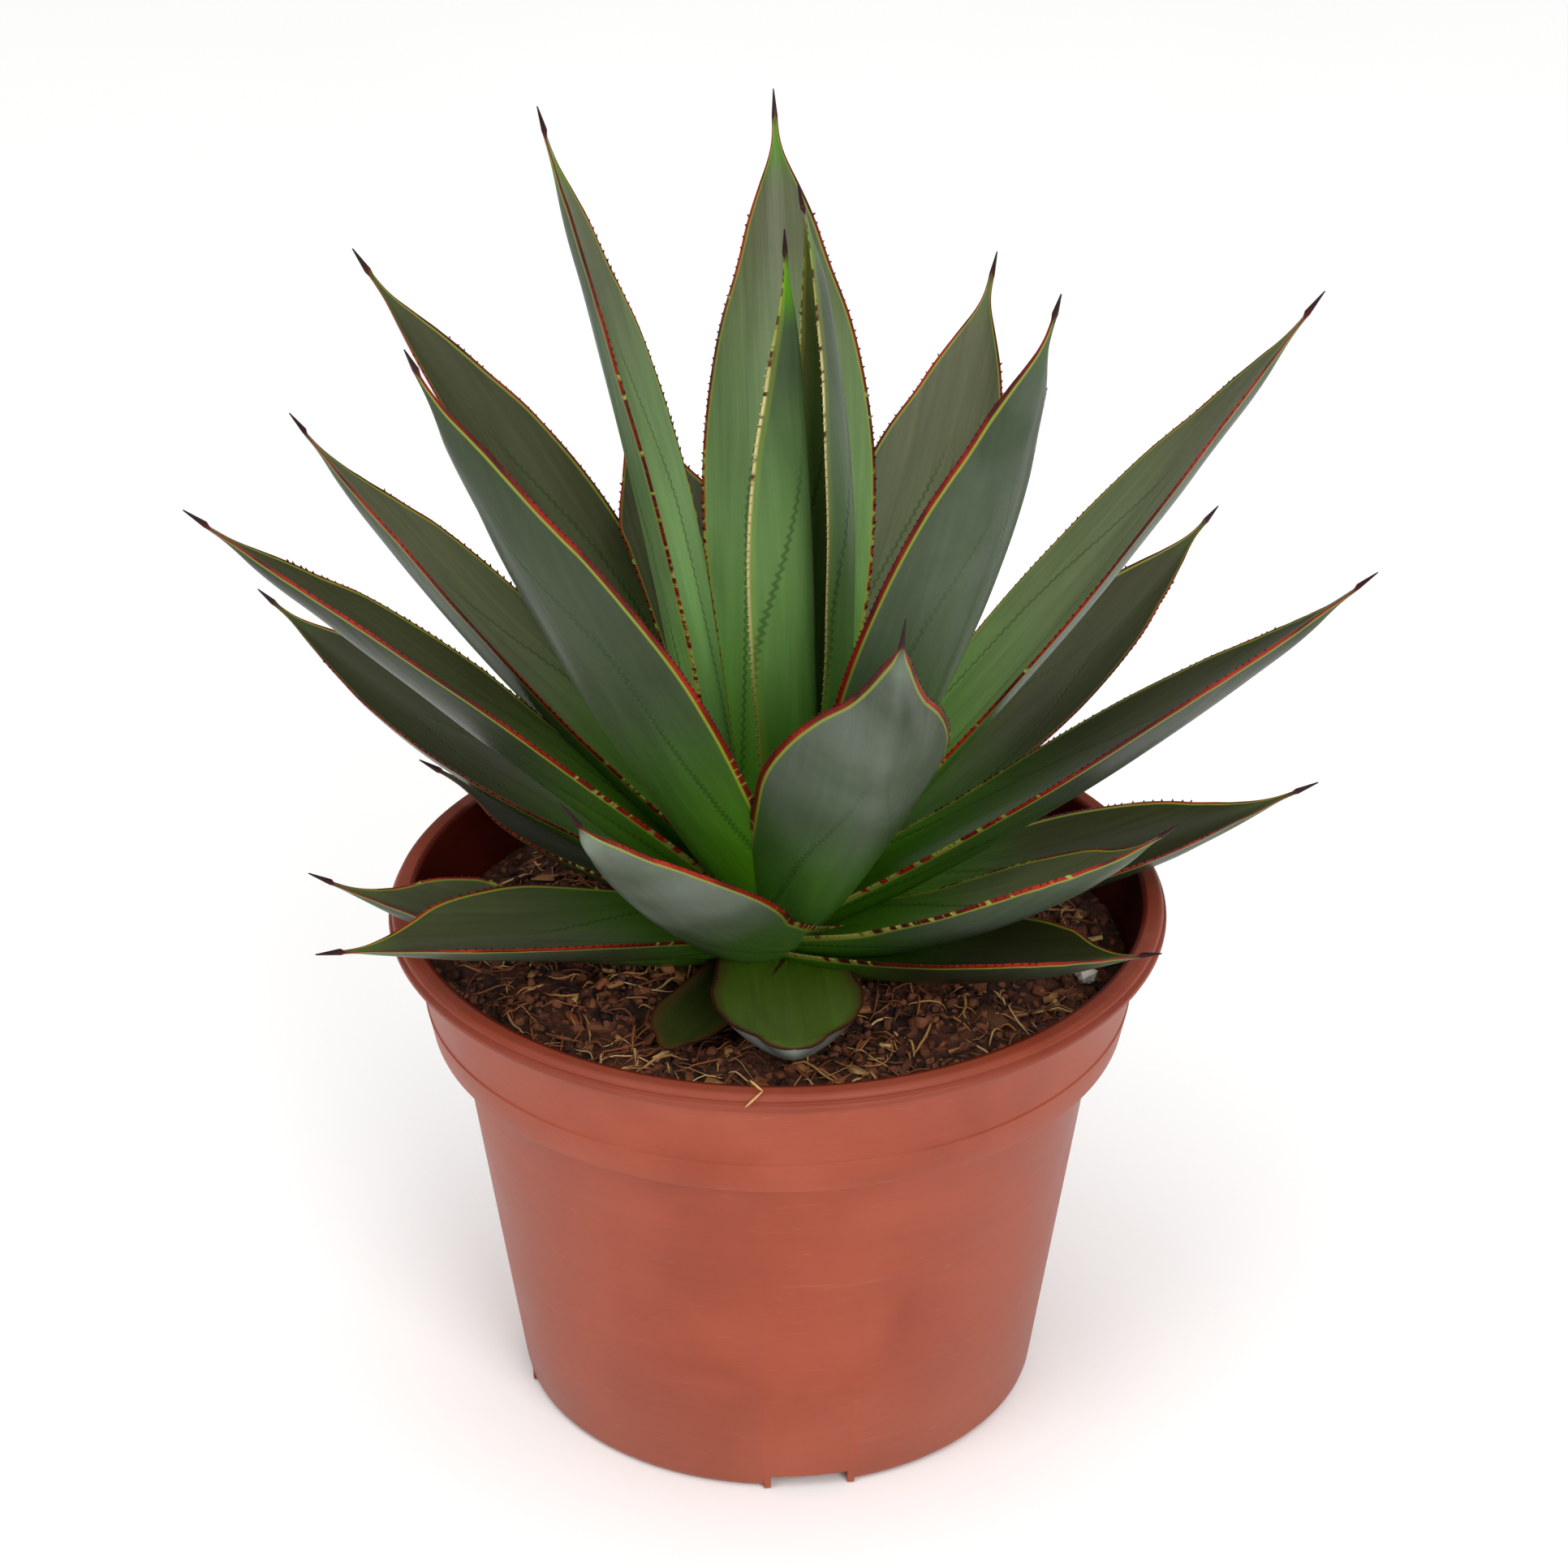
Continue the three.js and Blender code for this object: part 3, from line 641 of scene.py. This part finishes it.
def potMesh():
    p = potShape
    shell = spareObject(turnedShell(potOutline(), 0, p["wall"], p["steps"]), "spare_shell")
    roof = p["channelDepth"] + p["wall"]
    ridges = channelBoxes(p["channelWidth"] + 2 * p["wall"], 0.2 * mm, roof,
                          p["channelStart"] - p["wall"], p["foot"] - 0.4 * mm)
    joinedOrCut(shell, spareObject(ridges, "spare_ridges"), "UNION")
    channels = channelBoxes(p["channelWidth"], -2 * mm, p["channelDepth"], p["channelStart"],
                            p["foot"] + 5 * mm)
    joinedOrCut(shell, spareObject(channels, "spare_channels"), "DIFFERENCE")
    joinedOrCut(shell, spareObject(drainRods(), "spare_rods"), "DIFFERENCE")
    mesh = bmesh.new()
    mesh.from_mesh(shell.data)
    bpy.data.objects.remove(shell)
    return mesh


# Moulded polypropylene coloured like terracotta: satin, faintly mottled where the colour mixed, with fine
# handling scuffs and a little pale dust that gathers low on the body.
# lip: a dark red-brown used as painted shade on the inner wall and mixed part way into the lip
plastic = {
    "body": "#91422c", "pale": "#974832", "deep": "#893c26", "dust": "#a87662", "lip": "#521408",
    "mottleSize": 30,
    "grainSize": 0.7, "scuffWidth": 1.2,
}


def mouldedPlastic():
    material, tree = newMaterial("moulded terracotta polypropylene")
    where = addNode(tree, "TexCoord", {})["Object"]
    mottle = addNode(tree, "TexNoise", {
        "Vector": where, "Scale": 1000 / plastic["mottleSize"], "Detail": 4.0, "Distortion": 0.5})["Fac"]
    mottleRamp = addNode(tree, "ValToRGB", {"Fac": mottle})
    ramp = tree.nodes[-1].color_ramp
    ramp.elements[0].position = 0.34
    ramp.elements[0].color = linearColour(plastic["deep"])
    ramp.elements[1].position = 0.68
    ramp.elements[1].color = linearColour(plastic["pale"])
    middleStop = ramp.elements.new(0.5)
    middleStop.color = linearColour(plastic["body"])
    # the mould left level flow marks: noise squeezed flat around the pot
    flat = addNode(tree, "VectorMath", {0: where, 1: (14, 14, 420)}, operation="MULTIPLY")["Vector"]
    flow = addNode(tree, "TexNoise", {"Vector": flat, "Scale": 1.0, "Detail": 3.0})["Fac"]
    flowTone = addNode(tree, "MapRange", {
        "Value": flow, "From Min": 0.3, "From Max": 0.7, "To Min": 0.975, "To Max": 1.025})["Result"]
    toned = addNode(tree, "MixRGB", {"Fac": 1.0, "Color1": mottleRamp["Color"], "Color2": flowTone},
                    blend_type="MULTIPLY")["Color"]
    slanted = addNode(tree, "VectorMath", {
        0: where, 1: (60, 60, 1000 / plastic["scuffWidth"])}, operation="MULTIPLY")["Vector"]
    scuffs = addNode(tree, "TexNoise", {
        "Vector": slanted, "Scale": 1.0, "Detail": 4.0, "Distortion": 2.5})["Fac"]
    scuffShare = addNode(tree, "MapRange", {
        "Value": scuffs, "From Min": 0.62, "From Max": 0.74, "To Max": 0.22})["Result"]
    height = addNode(tree, "SeparateXYZ", {"Vector": where})["Z"]
    level = addNode(tree, "VectorMath", {0: where, 1: (1, 1, 0)}, operation="MULTIPLY")["Vector"]
    radius = addNode(tree, "VectorMath", {0: level}, operation="LENGTH")["Value"]
    low = addNode(tree, "MapRange", {
        "Value": height, "From Min": 0.035, "From Max": 0.0, "To Max": 0.14})["Result"]
    dustShare = addNode(tree, "Math", {0: scuffShare, 1: low}, operation="ADD")["Value"]
    dusted = addNode(tree, "MixRGB", {
        "Fac": dustShare, "Color1": toned, "Color2": linearColour(plastic["dust"])})["Color"]
    # painted shade: the inner wall takes the dark lip colour where shade falls inside the pot, and the lip is
    # mixed part way to it
    unsloped = addNode(tree, "Math", {0: height, 1: -potShape["bandDraft"], 2: radius},
                       operation="MULTIPLY_ADD")["Value"]
    wallFace = rimRadius - potShape["lipReach"] - potShape["bandDraft"] * (potHeight - potShape["lipHeight"])
    innerWallShadeShare = addNode(tree, "MapRange", {
        "Value": unsloped, "From Min": wallFace - 0.5 * mm, "From Max": wallFace - 1 * mm})["Result"]
    aboveBand = addNode(tree, "MapRange", {
        "Value": height, "From Min": potHeight - 30 * mm, "From Max": potHeight - 28 * mm})["Result"]
    inner = addNode(tree, "Math", {0: innerWallShadeShare, 1: aboveBand}, operation="MULTIPLY")["Value"]
    onLip = addNode(tree, "MapRange", {
        "Value": height, "From Min": potHeight - potShape["lipHeight"] - 0.2 * mm,
        "From Max": potHeight - potShape["lipHeight"] + 0.4 * mm, "To Max": 0.4})["Result"]
    innerShadeAndLipShare = addNode(tree, "Math", {0: inner, 1: onLip}, operation="MAXIMUM")["Value"]
    innerShadedAndDarkLip = addNode(tree, "MixRGB", {
        "Fac": innerShadeAndLipShare, "Color1": dusted, "Color2": linearColour(plastic["lip"])})["Color"]
    grain = addNode(tree, "TexNoise", {
        "Vector": where, "Scale": 1000 / plastic["grainSize"], "Detail": 2.0})["Fac"]
    rough = addNode(tree, "MapRange", {
        "Value": mottle, "From Min": 0.3, "From Max": 0.7, "To Min": 0.36, "To Max": 0.5})["Result"]
    relief = addNode(tree, "Math", {0: flow, 1: 1.5, 2: grain}, operation="MULTIPLY_ADD")["Value"]
    bump = addNode(tree, "Bump", {"Strength": 0.25, "Distance": 0.05 * mm, "Height": relief})["Normal"]
    shader = addNode(tree, "BsdfPrincipled", {
        "Base Color": innerShadedAndDarkLip, "Roughness": rough, "IOR": 1.49, "Specular IOR Level": 0.22,
        "Normal": bump})["BSDF"]
    addNode(tree, "OutputMaterial", {"Surface": shader})
    return material


pot = finishPiece(potMesh(), "potShell", mouldedPlastic(), "pot")
pot.data.set_sharp_from_angle(angle=math.radians(35))
print("pot turned:", len(pot.data.polygons), "faces")


# ---- potting mix: a crumbly surface with clods, bark chips and coir strands lying on it
mix = {
    "steps": 180, "rings": 70, "gap": 0.3 * mm, "lumps": 2.2 * mm, "grit": 0.9 * mm, "edgeDrop": 1.5 * mm,
    "clods": 2200, "clodSize": (0.7 * mm, 2.2 * mm), "bark": 170, "barkSize": (3 * mm, 8 * mm),
    "strands": 700, "strandLength": (5 * mm, 20 * mm), "strandRadius": (0.12 * mm, 0.34 * mm),
}
soilTop = soilHigh.z
soilEdge = None


def soilHeight(x, y):
    radius = math.hypot(x, y)
    share = radius / soilRadius
    crown = 3 * mm * (1 - share * share)
    lumps = noise.fractal(Vector((x * 55, y * 55, 1.7)), 1.0, 2.0, 3) * mix["lumps"]
    grit = noise.fractal(Vector((x * 260, y * 260, 8.1)), 1.0, 2.0, 3) * mix["grit"]
    drop = mix["edgeDrop"] * smoothShare(0.86, 1.0, share)
    return soilSurface + crown + lumps + grit - drop


soilSurface = soilHigh.z - 3 * mm
soilRadius = rimRadius - potShape["lipReach"] - potShape["wall"] - 2.8 * mm


def soilBody():
    mesh = bmesh.new()
    p = potShape
    bandBottom = potHeight - p["lipHeight"] - p["bandHeight"]
    bodyTop = soilRadius - 7 * mm
    floor = p["channelDepth"] + p["wall"] + 1 * mm
    low = [(0, floor), (p["foot"] - 2.6 * mm, floor), (bodyTop, bandBottom), (soilRadius - 1.8 * mm, bandBottom + 3 * mm)]
    profile = [mesh.verts.new((radius, 0, height)) for radius, height in low]
    for i in range(mix["rings"] + 1):
        radius = soilRadius * (1 - i / mix["rings"])
        profile.append(mesh.verts.new((radius, 0, soilSurface)))
    for a, b in zip(profile, profile[1:]):
        mesh.edges.new((a, b))
    bmesh.ops.spin(mesh, geom=mesh.verts[:] + mesh.edges[:], cent=(0, 0, 0), axis=(0, 0, 1), dvec=(0, 0, 0),
                   angle=2 * math.pi, steps=mix["steps"], use_merge=True, use_normal_flip=False,
                   use_duplicate=False)
    bmesh.ops.remove_doubles(mesh, verts=mesh.verts, dist=0.02 * mm)
    bmesh.ops.recalc_face_normals(mesh, faces=mesh.faces)
    for vert in mesh.verts:
        if vert.co.z > soilSurface - 0.5 * mm:
            vert.co.z = soilHeight(vert.co.x, vert.co.y)
    bmesh.ops.translate(mesh, verts=mesh.verts, vec=axis)
    return mesh


def randomSpot(rng, inset):
    radius = (soilRadius - inset) * math.sqrt(rng.uniform(0.02, 1))
    turn = rng.uniform(0, 2 * math.pi)
    return radius * math.cos(turn), radius * math.sin(turn)


# Clods are faceted lumps, half sunk; each has few faces because there are so many.
def addClods(mesh, toneLayer):
    rng = random.Random(11)
    for _ in range(mix["clods"]):
        size = rng.uniform(*mix["clodSize"]) * rng.uniform(0.6, 1)
        x, y = randomSpot(rng, 2.2 * mm)
        spot = Matrix.Translation((x + axis.x, y + axis.y, soilHeight(x, y) + size * 0.15))
        turn = Matrix.Rotation(rng.uniform(0, 6), 4, "Z") @ Matrix.Rotation(rng.uniform(0, 3), 4, "X")
        squash = Matrix.Diagonal((rng.uniform(0.7, 1.3), rng.uniform(0.6, 1), rng.uniform(0.5, 0.9), 1))
        made = bmesh.ops.create_icosphere(mesh, subdivisions=1, radius=size, matrix=spot @ turn @ squash)
        tone = rng.uniform(0, 1)
        for vert in made["verts"]:
            vert.co += Vector([rng.uniform(-0.22, 0.22) * size for _ in range(3)])
            vert[toneLayer] = tone


def addBark(mesh, toneLayer):
    rng = random.Random(5)
    for _ in range(mix["bark"]):
        size = rng.uniform(*mix["barkSize"]) * rng.uniform(0.5, 1)
        x, y = randomSpot(rng, 6 * mm)
        spot = Matrix.Translation((x + axis.x, y + axis.y, soilHeight(x, y) + 0.5 * mm))
        turn = (Matrix.Rotation(rng.uniform(0, 6), 4, "Z") @ Matrix.Rotation(rng.uniform(-0.6, 0.6), 4, "X")
                @ Matrix.Rotation(rng.uniform(-0.4, 0.4), 4, "Y"))
        shape = Matrix.Diagonal((size, size * rng.uniform(0.25, 0.6), rng.uniform(0.7, 1.6) * mm, 1))
        made = bmesh.ops.create_cube(mesh, size=1, matrix=spot @ turn @ shape)
        edges = list({edge for vert in made["verts"] for edge in vert.link_edges})
        worn = bmesh.ops.bevel(mesh, geom=edges, offset=0.22 * mm, offset_type="OFFSET", affect="EDGES",
                               segments=1, profile=0.5, material=-1, clamp_overlap=True)
        tone = rng.uniform(0, 1)
        for vert in worn["verts"]:
            vert.co += Vector([rng.uniform(-0.3, 0.3) * mm for _ in range(3)])
            vert[toneLayer] = tone


# One strand: a narrow sheet rolled round a curved route, thinning to both ends.
def addStrand(mesh, toneLayer, route, radius, tone, steps=7, sides=5):
    made = bmesh.ops.create_grid(mesh, x_segments=sides, y_segments=steps, size=0.5)
    verts = made["verts"]
    for vert in verts:
        turn = 2 * math.pi * (vert.co.x + 0.5)
        share = vert.co.y + 0.5
        middle = route(share)
        ahead = (route(share + 0.01) - route(share - 0.01)).normalized()
        sideways = ahead.cross(Vector((0, 0, 1))).normalized()
        above = sideways.cross(ahead)
        thick = radius * (1 - 0.7 * abs(2 * share - 1) ** 3)
        vert.co = middle + (sideways * math.sin(turn) + above * math.cos(turn)) * thick
        vert[toneLayer] = tone
    bmesh.ops.remove_doubles(mesh, verts=verts, dist=0.002 * mm)


# Two things lie apart from the rest: a bent pale strand over the front lip, and a lump of perlite.
loose = {
    "strandPlace": (-2.9 * mm, -83.6 * mm), "strandRadius": 0.27 * mm,
    "perlitePlace": (67 * mm, -14 * mm), "perliteSize": 2.6 * mm,
}


def addBentStrand(mesh, toneLayer):
    x, y = loose["strandPlace"]
    bend = Vector((x, y, potHeight + 0.9 * mm)) + axis
    ends = (bend + Vector((-2.6 * mm, 1.6 * mm, 1.6 * mm)), bend + Vector((-3.6 * mm, -2 * mm, -2.6 * mm)))
    for end in ends:
        def route(share):
            return bend.lerp(end, share)
        addStrand(mesh, toneLayer, route, loose["strandRadius"], 0.85)


def coirStrands():
    rng = random.Random(23)
    mesh = bmesh.new()
    toneLayer = mesh.verts.layers.float.new("mixTone")
    for _ in range(mix["strands"]):
        x, y = randomSpot(rng, 9 * mm)
        length = rng.uniform(*mix["strandLength"]) * rng.uniform(0.5, 1)
        turn, bend = rng.uniform(0, 2 * math.pi), rng.gauss(0, 0.6)
        lift, wave = rng.uniform(0, 2.4) * mm * rng.uniform(0, 1), rng.uniform(0, 6)

        def route(share):
            run = (share - 0.5) * length
            heading = turn + bend * (share - 0.5)
            px, py = x + run * math.cos(heading), y + run * math.sin(heading)
            reach = math.hypot(px, py)
            limit = soilRadius - 1 * mm
            if reach > limit:
                px, py = px * limit / reach, py * limit / reach
            rise = lift * math.sin(math.pi * min(max(share, 0), 1)) + 0.4 * mm * math.sin(wave + 7 * share)
            return Vector((px + axis.x, py + axis.y, soilHeight(px, py) + 0.5 * mm + rise))
        addStrand(mesh, toneLayer, route, rng.uniform(*mix["strandRadius"]), rng.uniform(0, 1))
    addBentStrand(mesh, toneLayer)
    bmesh.ops.holes_fill(mesh, edges=[edge for edge in mesh.edges if edge.is_boundary], sides=0)
    bmesh.ops.recalc_face_normals(mesh, faces=mesh.faces)
    return mesh


def perliteLump():
    mesh = bmesh.new()
    x, y = loose["perlitePlace"]
    size = loose["perliteSize"]
    spot = Matrix.Translation(Vector((x, y, soilHeight(x, y) + size * 0.6)) + axis)
    made = bmesh.ops.create_icosphere(mesh, subdivisions=4, radius=size, matrix=spot)
    for vert in made["verts"]:
        bulge = noise.fractal(vert.co * 420, 1.0, 2.0, 3)
        middle = spot.translation
        vert.co = middle + (vert.co - middle) * (0.85 + 0.35 * bulge)
    return mesh


# Damp peat mix: near-black humus with brown crumbs, dull and rough all over.
peat = {"wet": "#1c0d07", "brown": "#5a301c", "crumb": "#8a5234", "clumpSize": 6, "crumbSize": 1.4}


def dampPeat():
    material, tree = newMaterial("damp peat and coir mix")
    where = addNode(tree, "TexCoord", {})["Object"]
    tone = addNode(tree, "Attribute", {}, attribute_name="mixTone")["Fac"]
    clumps = addNode(tree, "TexNoise", {
        "Vector": where, "Scale": 1000 / peat["clumpSize"], "Detail": 6.0, "Roughness": 0.65})["Fac"]
    crumbs = addNode(tree, "TexVoronoi", {"Vector": where, "Scale": 1000 / peat["crumbSize"]})
    mixed = addNode(tree, "MapRange", {"Value": clumps, "From Min": 0.4, "From Max": 0.68})["Result"]
    browned = addNode(tree, "MixRGB", {
        "Fac": mixed, "Color1": linearColour(peat["wet"]), "Color2": linearColour(peat["brown"])})["Color"]
    speck = addNode(tree, "SeparateXYZ", {"Vector": crumbs["Color"]})["X"]
    speckShare = addNode(tree, "MapRange", {"Value": speck, "From Min": 0.8, "From Max": 0.95, "To Max": 0.7})
    speckled = addNode(tree, "MixRGB", {
        "Fac": speckShare["Result"], "Color1": browned, "Color2": linearColour(peat["crumb"])})["Color"]
    toneShare = addNode(tree, "MapRange", {"Value": tone, "From Min": 0.45, "To Max": 0.65})["Result"]
    toned = addNode(tree, "MixRGB", {
        "Fac": toneShare, "Color1": speckled, "Color2": linearColour(peat["crumb"])})["Color"]
    rough = addNode(tree, "MapRange", {"Value": clumps, "To Min": 0.75, "To Max": 1.0})["Result"]
    relief = addNode(tree, "Math", {0: crumbs["Distance"], 1: clumps}, operation="ADD")["Value"]
    bump = addNode(tree, "Bump", {"Strength": 0.8, "Distance": 0.6 * mm, "Height": relief})["Normal"]
    shader = addNode(tree, "BsdfPrincipled", {
        "Base Color": toned, "Roughness": rough, "IOR": 1.4, "Normal": bump})["BSDF"]
    addNode(tree, "OutputMaterial", {"Surface": shader})
    return material


# Dry plant fibre: coconut husk strands and pine bark, tan to rust, with a fine grain along them.
husk = {"dark": "#4a2a16", "rust": "#844822", "tan": "#a87c46", "pale": "#cca672", "grainSize": 0.8}


def dryHusk():
    material, tree = newMaterial("dry coir and bark")
    where = addNode(tree, "TexCoord", {})["Object"]
    tone = addNode(tree, "Attribute", {}, attribute_name="mixTone")["Fac"]
    grain = addNode(tree, "TexNoise", {
        "Vector": where, "Scale": 1000 / husk["grainSize"], "Detail": 4.0})["Fac"]
    shifted = addNode(tree, "Math", {0: grain, 1: 0.35, 2: tone}, operation="MULTIPLY_ADD")["Value"]
    shares = addNode(tree, "MapRange", {"Value": shifted, "From Min": 0.15, "From Max": 1.2})["Result"]
    colours = addNode(tree, "ValToRGB", {"Fac": shares})["Color"]
    ramp = tree.nodes[-1].color_ramp
    ramp.elements[0].color = linearColour(husk["dark"])
    ramp.elements[1].color = linearColour(husk["pale"])
    for stop, shade in ((0.4, husk["rust"]), (0.75, husk["tan"])):
        ramp.elements.new(stop).color = linearColour(shade)
    rough = addNode(tree, "MapRange", {"Value": grain, "To Min": 0.6, "To Max": 0.9})["Result"]
    bump = addNode(tree, "Bump", {"Strength": 0.6, "Distance": 0.15 * mm, "Height": grain})["Normal"]
    shader = addNode(tree, "BsdfPrincipled", {
        "Base Color": colours, "Roughness": rough, "IOR": 1.46, "Normal": bump})["BSDF"]
    addNode(tree, "OutputMaterial", {"Surface": shader})
    return material


# Expanded perlite: popped volcanic glass, chalk white and full of tiny pits, stained by the wet mix.
perlite = {"white": "#ddd6c8", "stain": "#a08c70", "pitSize": 0.7, "stainSize": 3}


def expandedPerlite():
    material, tree = newMaterial("expanded perlite")
    where = addNode(tree, "TexCoord", {})["Object"]
    stains = addNode(tree, "TexNoise", {
        "Vector": where, "Scale": 1000 / perlite["stainSize"], "Detail": 3.0})["Fac"]
    pits = addNode(tree, "TexVoronoi", {"Vector": where, "Scale": 1000 / perlite["pitSize"]})["Distance"]
    share = addNode(tree, "MapRange", {"Value": stains, "From Min": 0.45, "From Max": 0.7})["Result"]
    colour = addNode(tree, "MixRGB", {
        "Fac": share, "Color1": linearColour(perlite["white"]),
        "Color2": linearColour(perlite["stain"])})["Color"]
    rough = addNode(tree, "MapRange", {"Value": pits, "To Min": 0.95, "To Max": 0.75})["Result"]
    bump = addNode(tree, "Bump", {"Strength": 0.8, "Distance": 0.3 * mm, "Height": pits})["Normal"]
    shader = addNode(tree, "BsdfPrincipled", {
        "Base Color": colour, "Roughness": rough, "IOR": 1.5, "Normal": bump})["BSDF"]
    addNode(tree, "OutputMaterial", {"Surface": shader})
    return material


peatMaterial = dampPeat()
huskMaterial = dryHusk()
soilMesh = soilBody()
clodTone = soilMesh.verts.layers.float.new("mixTone")
addClods(soilMesh, clodTone)
finishPiece(soilMesh, "pottingMix", peatMaterial, "soil")
barkMesh = bmesh.new()
addBark(barkMesh, barkMesh.verts.layers.float.new("mixTone"))
finishPiece(barkMesh, "barkChips", huskMaterial, "soil")
finishPiece(coirStrands(), "coirStrands", huskMaterial, "soil")
finishPiece(perliteLump(), "perliteLump", expandedPerlite(), "soil")
print("potting mix filled")


# ---- stem and roots keep their frame shape and get a woody skin
wood = {"dark": "#3d2a1a", "light": "#8b7350", "root": "#b39a70", "ringSize": 2.5}


def woodySkin(name, dark, light):
    material, tree = newMaterial(name)
    where = addNode(tree, "TexCoord", {})["Object"]
    flat = addNode(tree, "VectorMath", {0: where, 1: (60, 60, 1000 / wood["ringSize"])},
                   operation="MULTIPLY")["Vector"]
    scars = addNode(tree, "TexNoise", {"Vector": flat, "Scale": 1.0, "Detail": 4.0})["Fac"]
    colour = addNode(tree, "MixRGB", {
        "Fac": scars, "Color1": linearColour(dark), "Color2": linearColour(light)})["Color"]
    rough = addNode(tree, "MapRange", {"Value": scars, "To Min": 0.6, "To Max": 0.9})["Result"]
    bump = addNode(tree, "Bump", {"Strength": 0.6, "Distance": 0.4 * mm, "Height": scars})["Normal"]
    shader = addNode(tree, "BsdfPrincipled", {
        "Base Color": colour, "Roughness": rough, "IOR": 1.45, "Normal": bump})["BSDF"]
    addNode(tree, "OutputMaterial", {"Surface": shader})
    return material


stemMaterial = woodySkin("scarred leaf-base stem", wood["dark"], wood["light"])
rootMaterial = woodySkin("washed fleshy root", wood["light"], wood["root"])
for name in ["stem"] + rootNames:
    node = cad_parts[name]
    node.data.materials.clear()
    node.data.materials.append(stemMaterial if name == "stem" else rootMaterial)
print("stem and roots coloured")


# ---- floor and light
studio = {"floor": "#fcfcfb", "world": 0.25, "keyPower": 13, "fillPower": 6, "ceilingPower": 160}


def paleFloor():
    material, tree = newMaterial("pale painted floor")
    where = addNode(tree, "TexCoord", {})["Object"]
    mottle = addNode(tree, "TexNoise", {"Vector": where, "Scale": 8.0, "Detail": 3.0})["Fac"]
    tone = addNode(tree, "MapRange", {"Value": mottle, "To Min": 0.97, "To Max": 1.0})["Result"]
    colour = addNode(tree, "MixRGB", {"Fac": 1.0, "Color1": linearColour(studio["floor"]), "Color2": tone},
                     blend_type="MULTIPLY")["Color"]
    shader = addNode(tree, "BsdfPrincipled", {"Base Color": colour, "Roughness": 0.7})["BSDF"]
    addNode(tree, "OutputMaterial", {"Surface": shader})
    return material


floorMesh = bmesh.new()
bmesh.ops.create_grid(floorMesh, x_segments=1, y_segments=1, size=6)
bmesh.ops.translate(floorMesh, verts=floorMesh.verts, vec=(0, 0, -0.2 * mm))
floorData = bpy.data.meshes.new("floor")
floorMesh.to_mesh(floorData)
floorMesh.free()
floorData.materials.append(paleFloor())
floor = bpy.data.objects.new("floor", floorData)
bpy.context.scene.collection.objects.link(floor)


def addSoftbox(name, place, target, size, power):
    light = bpy.data.lights.new(name, "AREA")
    light.shape = "DISK"
    light.size = size
    light.energy = power
    made = bpy.data.objects.new(name, light)
    made.location = place
    aim = Vector(target) - Vector(place)
    made.rotation_euler = aim.to_track_quat("-Z", "Y").to_euler()
    bpy.context.scene.collection.objects.link(made)


plantMiddle = (0, 0, 0.12)
addSoftbox("keyLight", (0.55, -1.25, 0.75), plantMiddle, 0.8, studio["keyPower"])
addSoftbox("fillLight", (-0.9, -0.9, 0.8), plantMiddle, 1.0, studio["fillPower"])
addSoftbox("ceilingLight", (0, 0, 3.2), (0, 0, 0), 7, studio["ceilingPower"])
world = bpy.data.worlds.new("studio")
world.use_nodes = True
world.node_tree.nodes["Background"].inputs["Color"].default_value = (1, 1, 1, 1)
world.node_tree.nodes["Background"].inputs["Strength"].default_value = studio["world"]
bpy.context.scene.world = world
bpy.context.scene.view_settings.view_transform = "Standard"
print("studio lit")
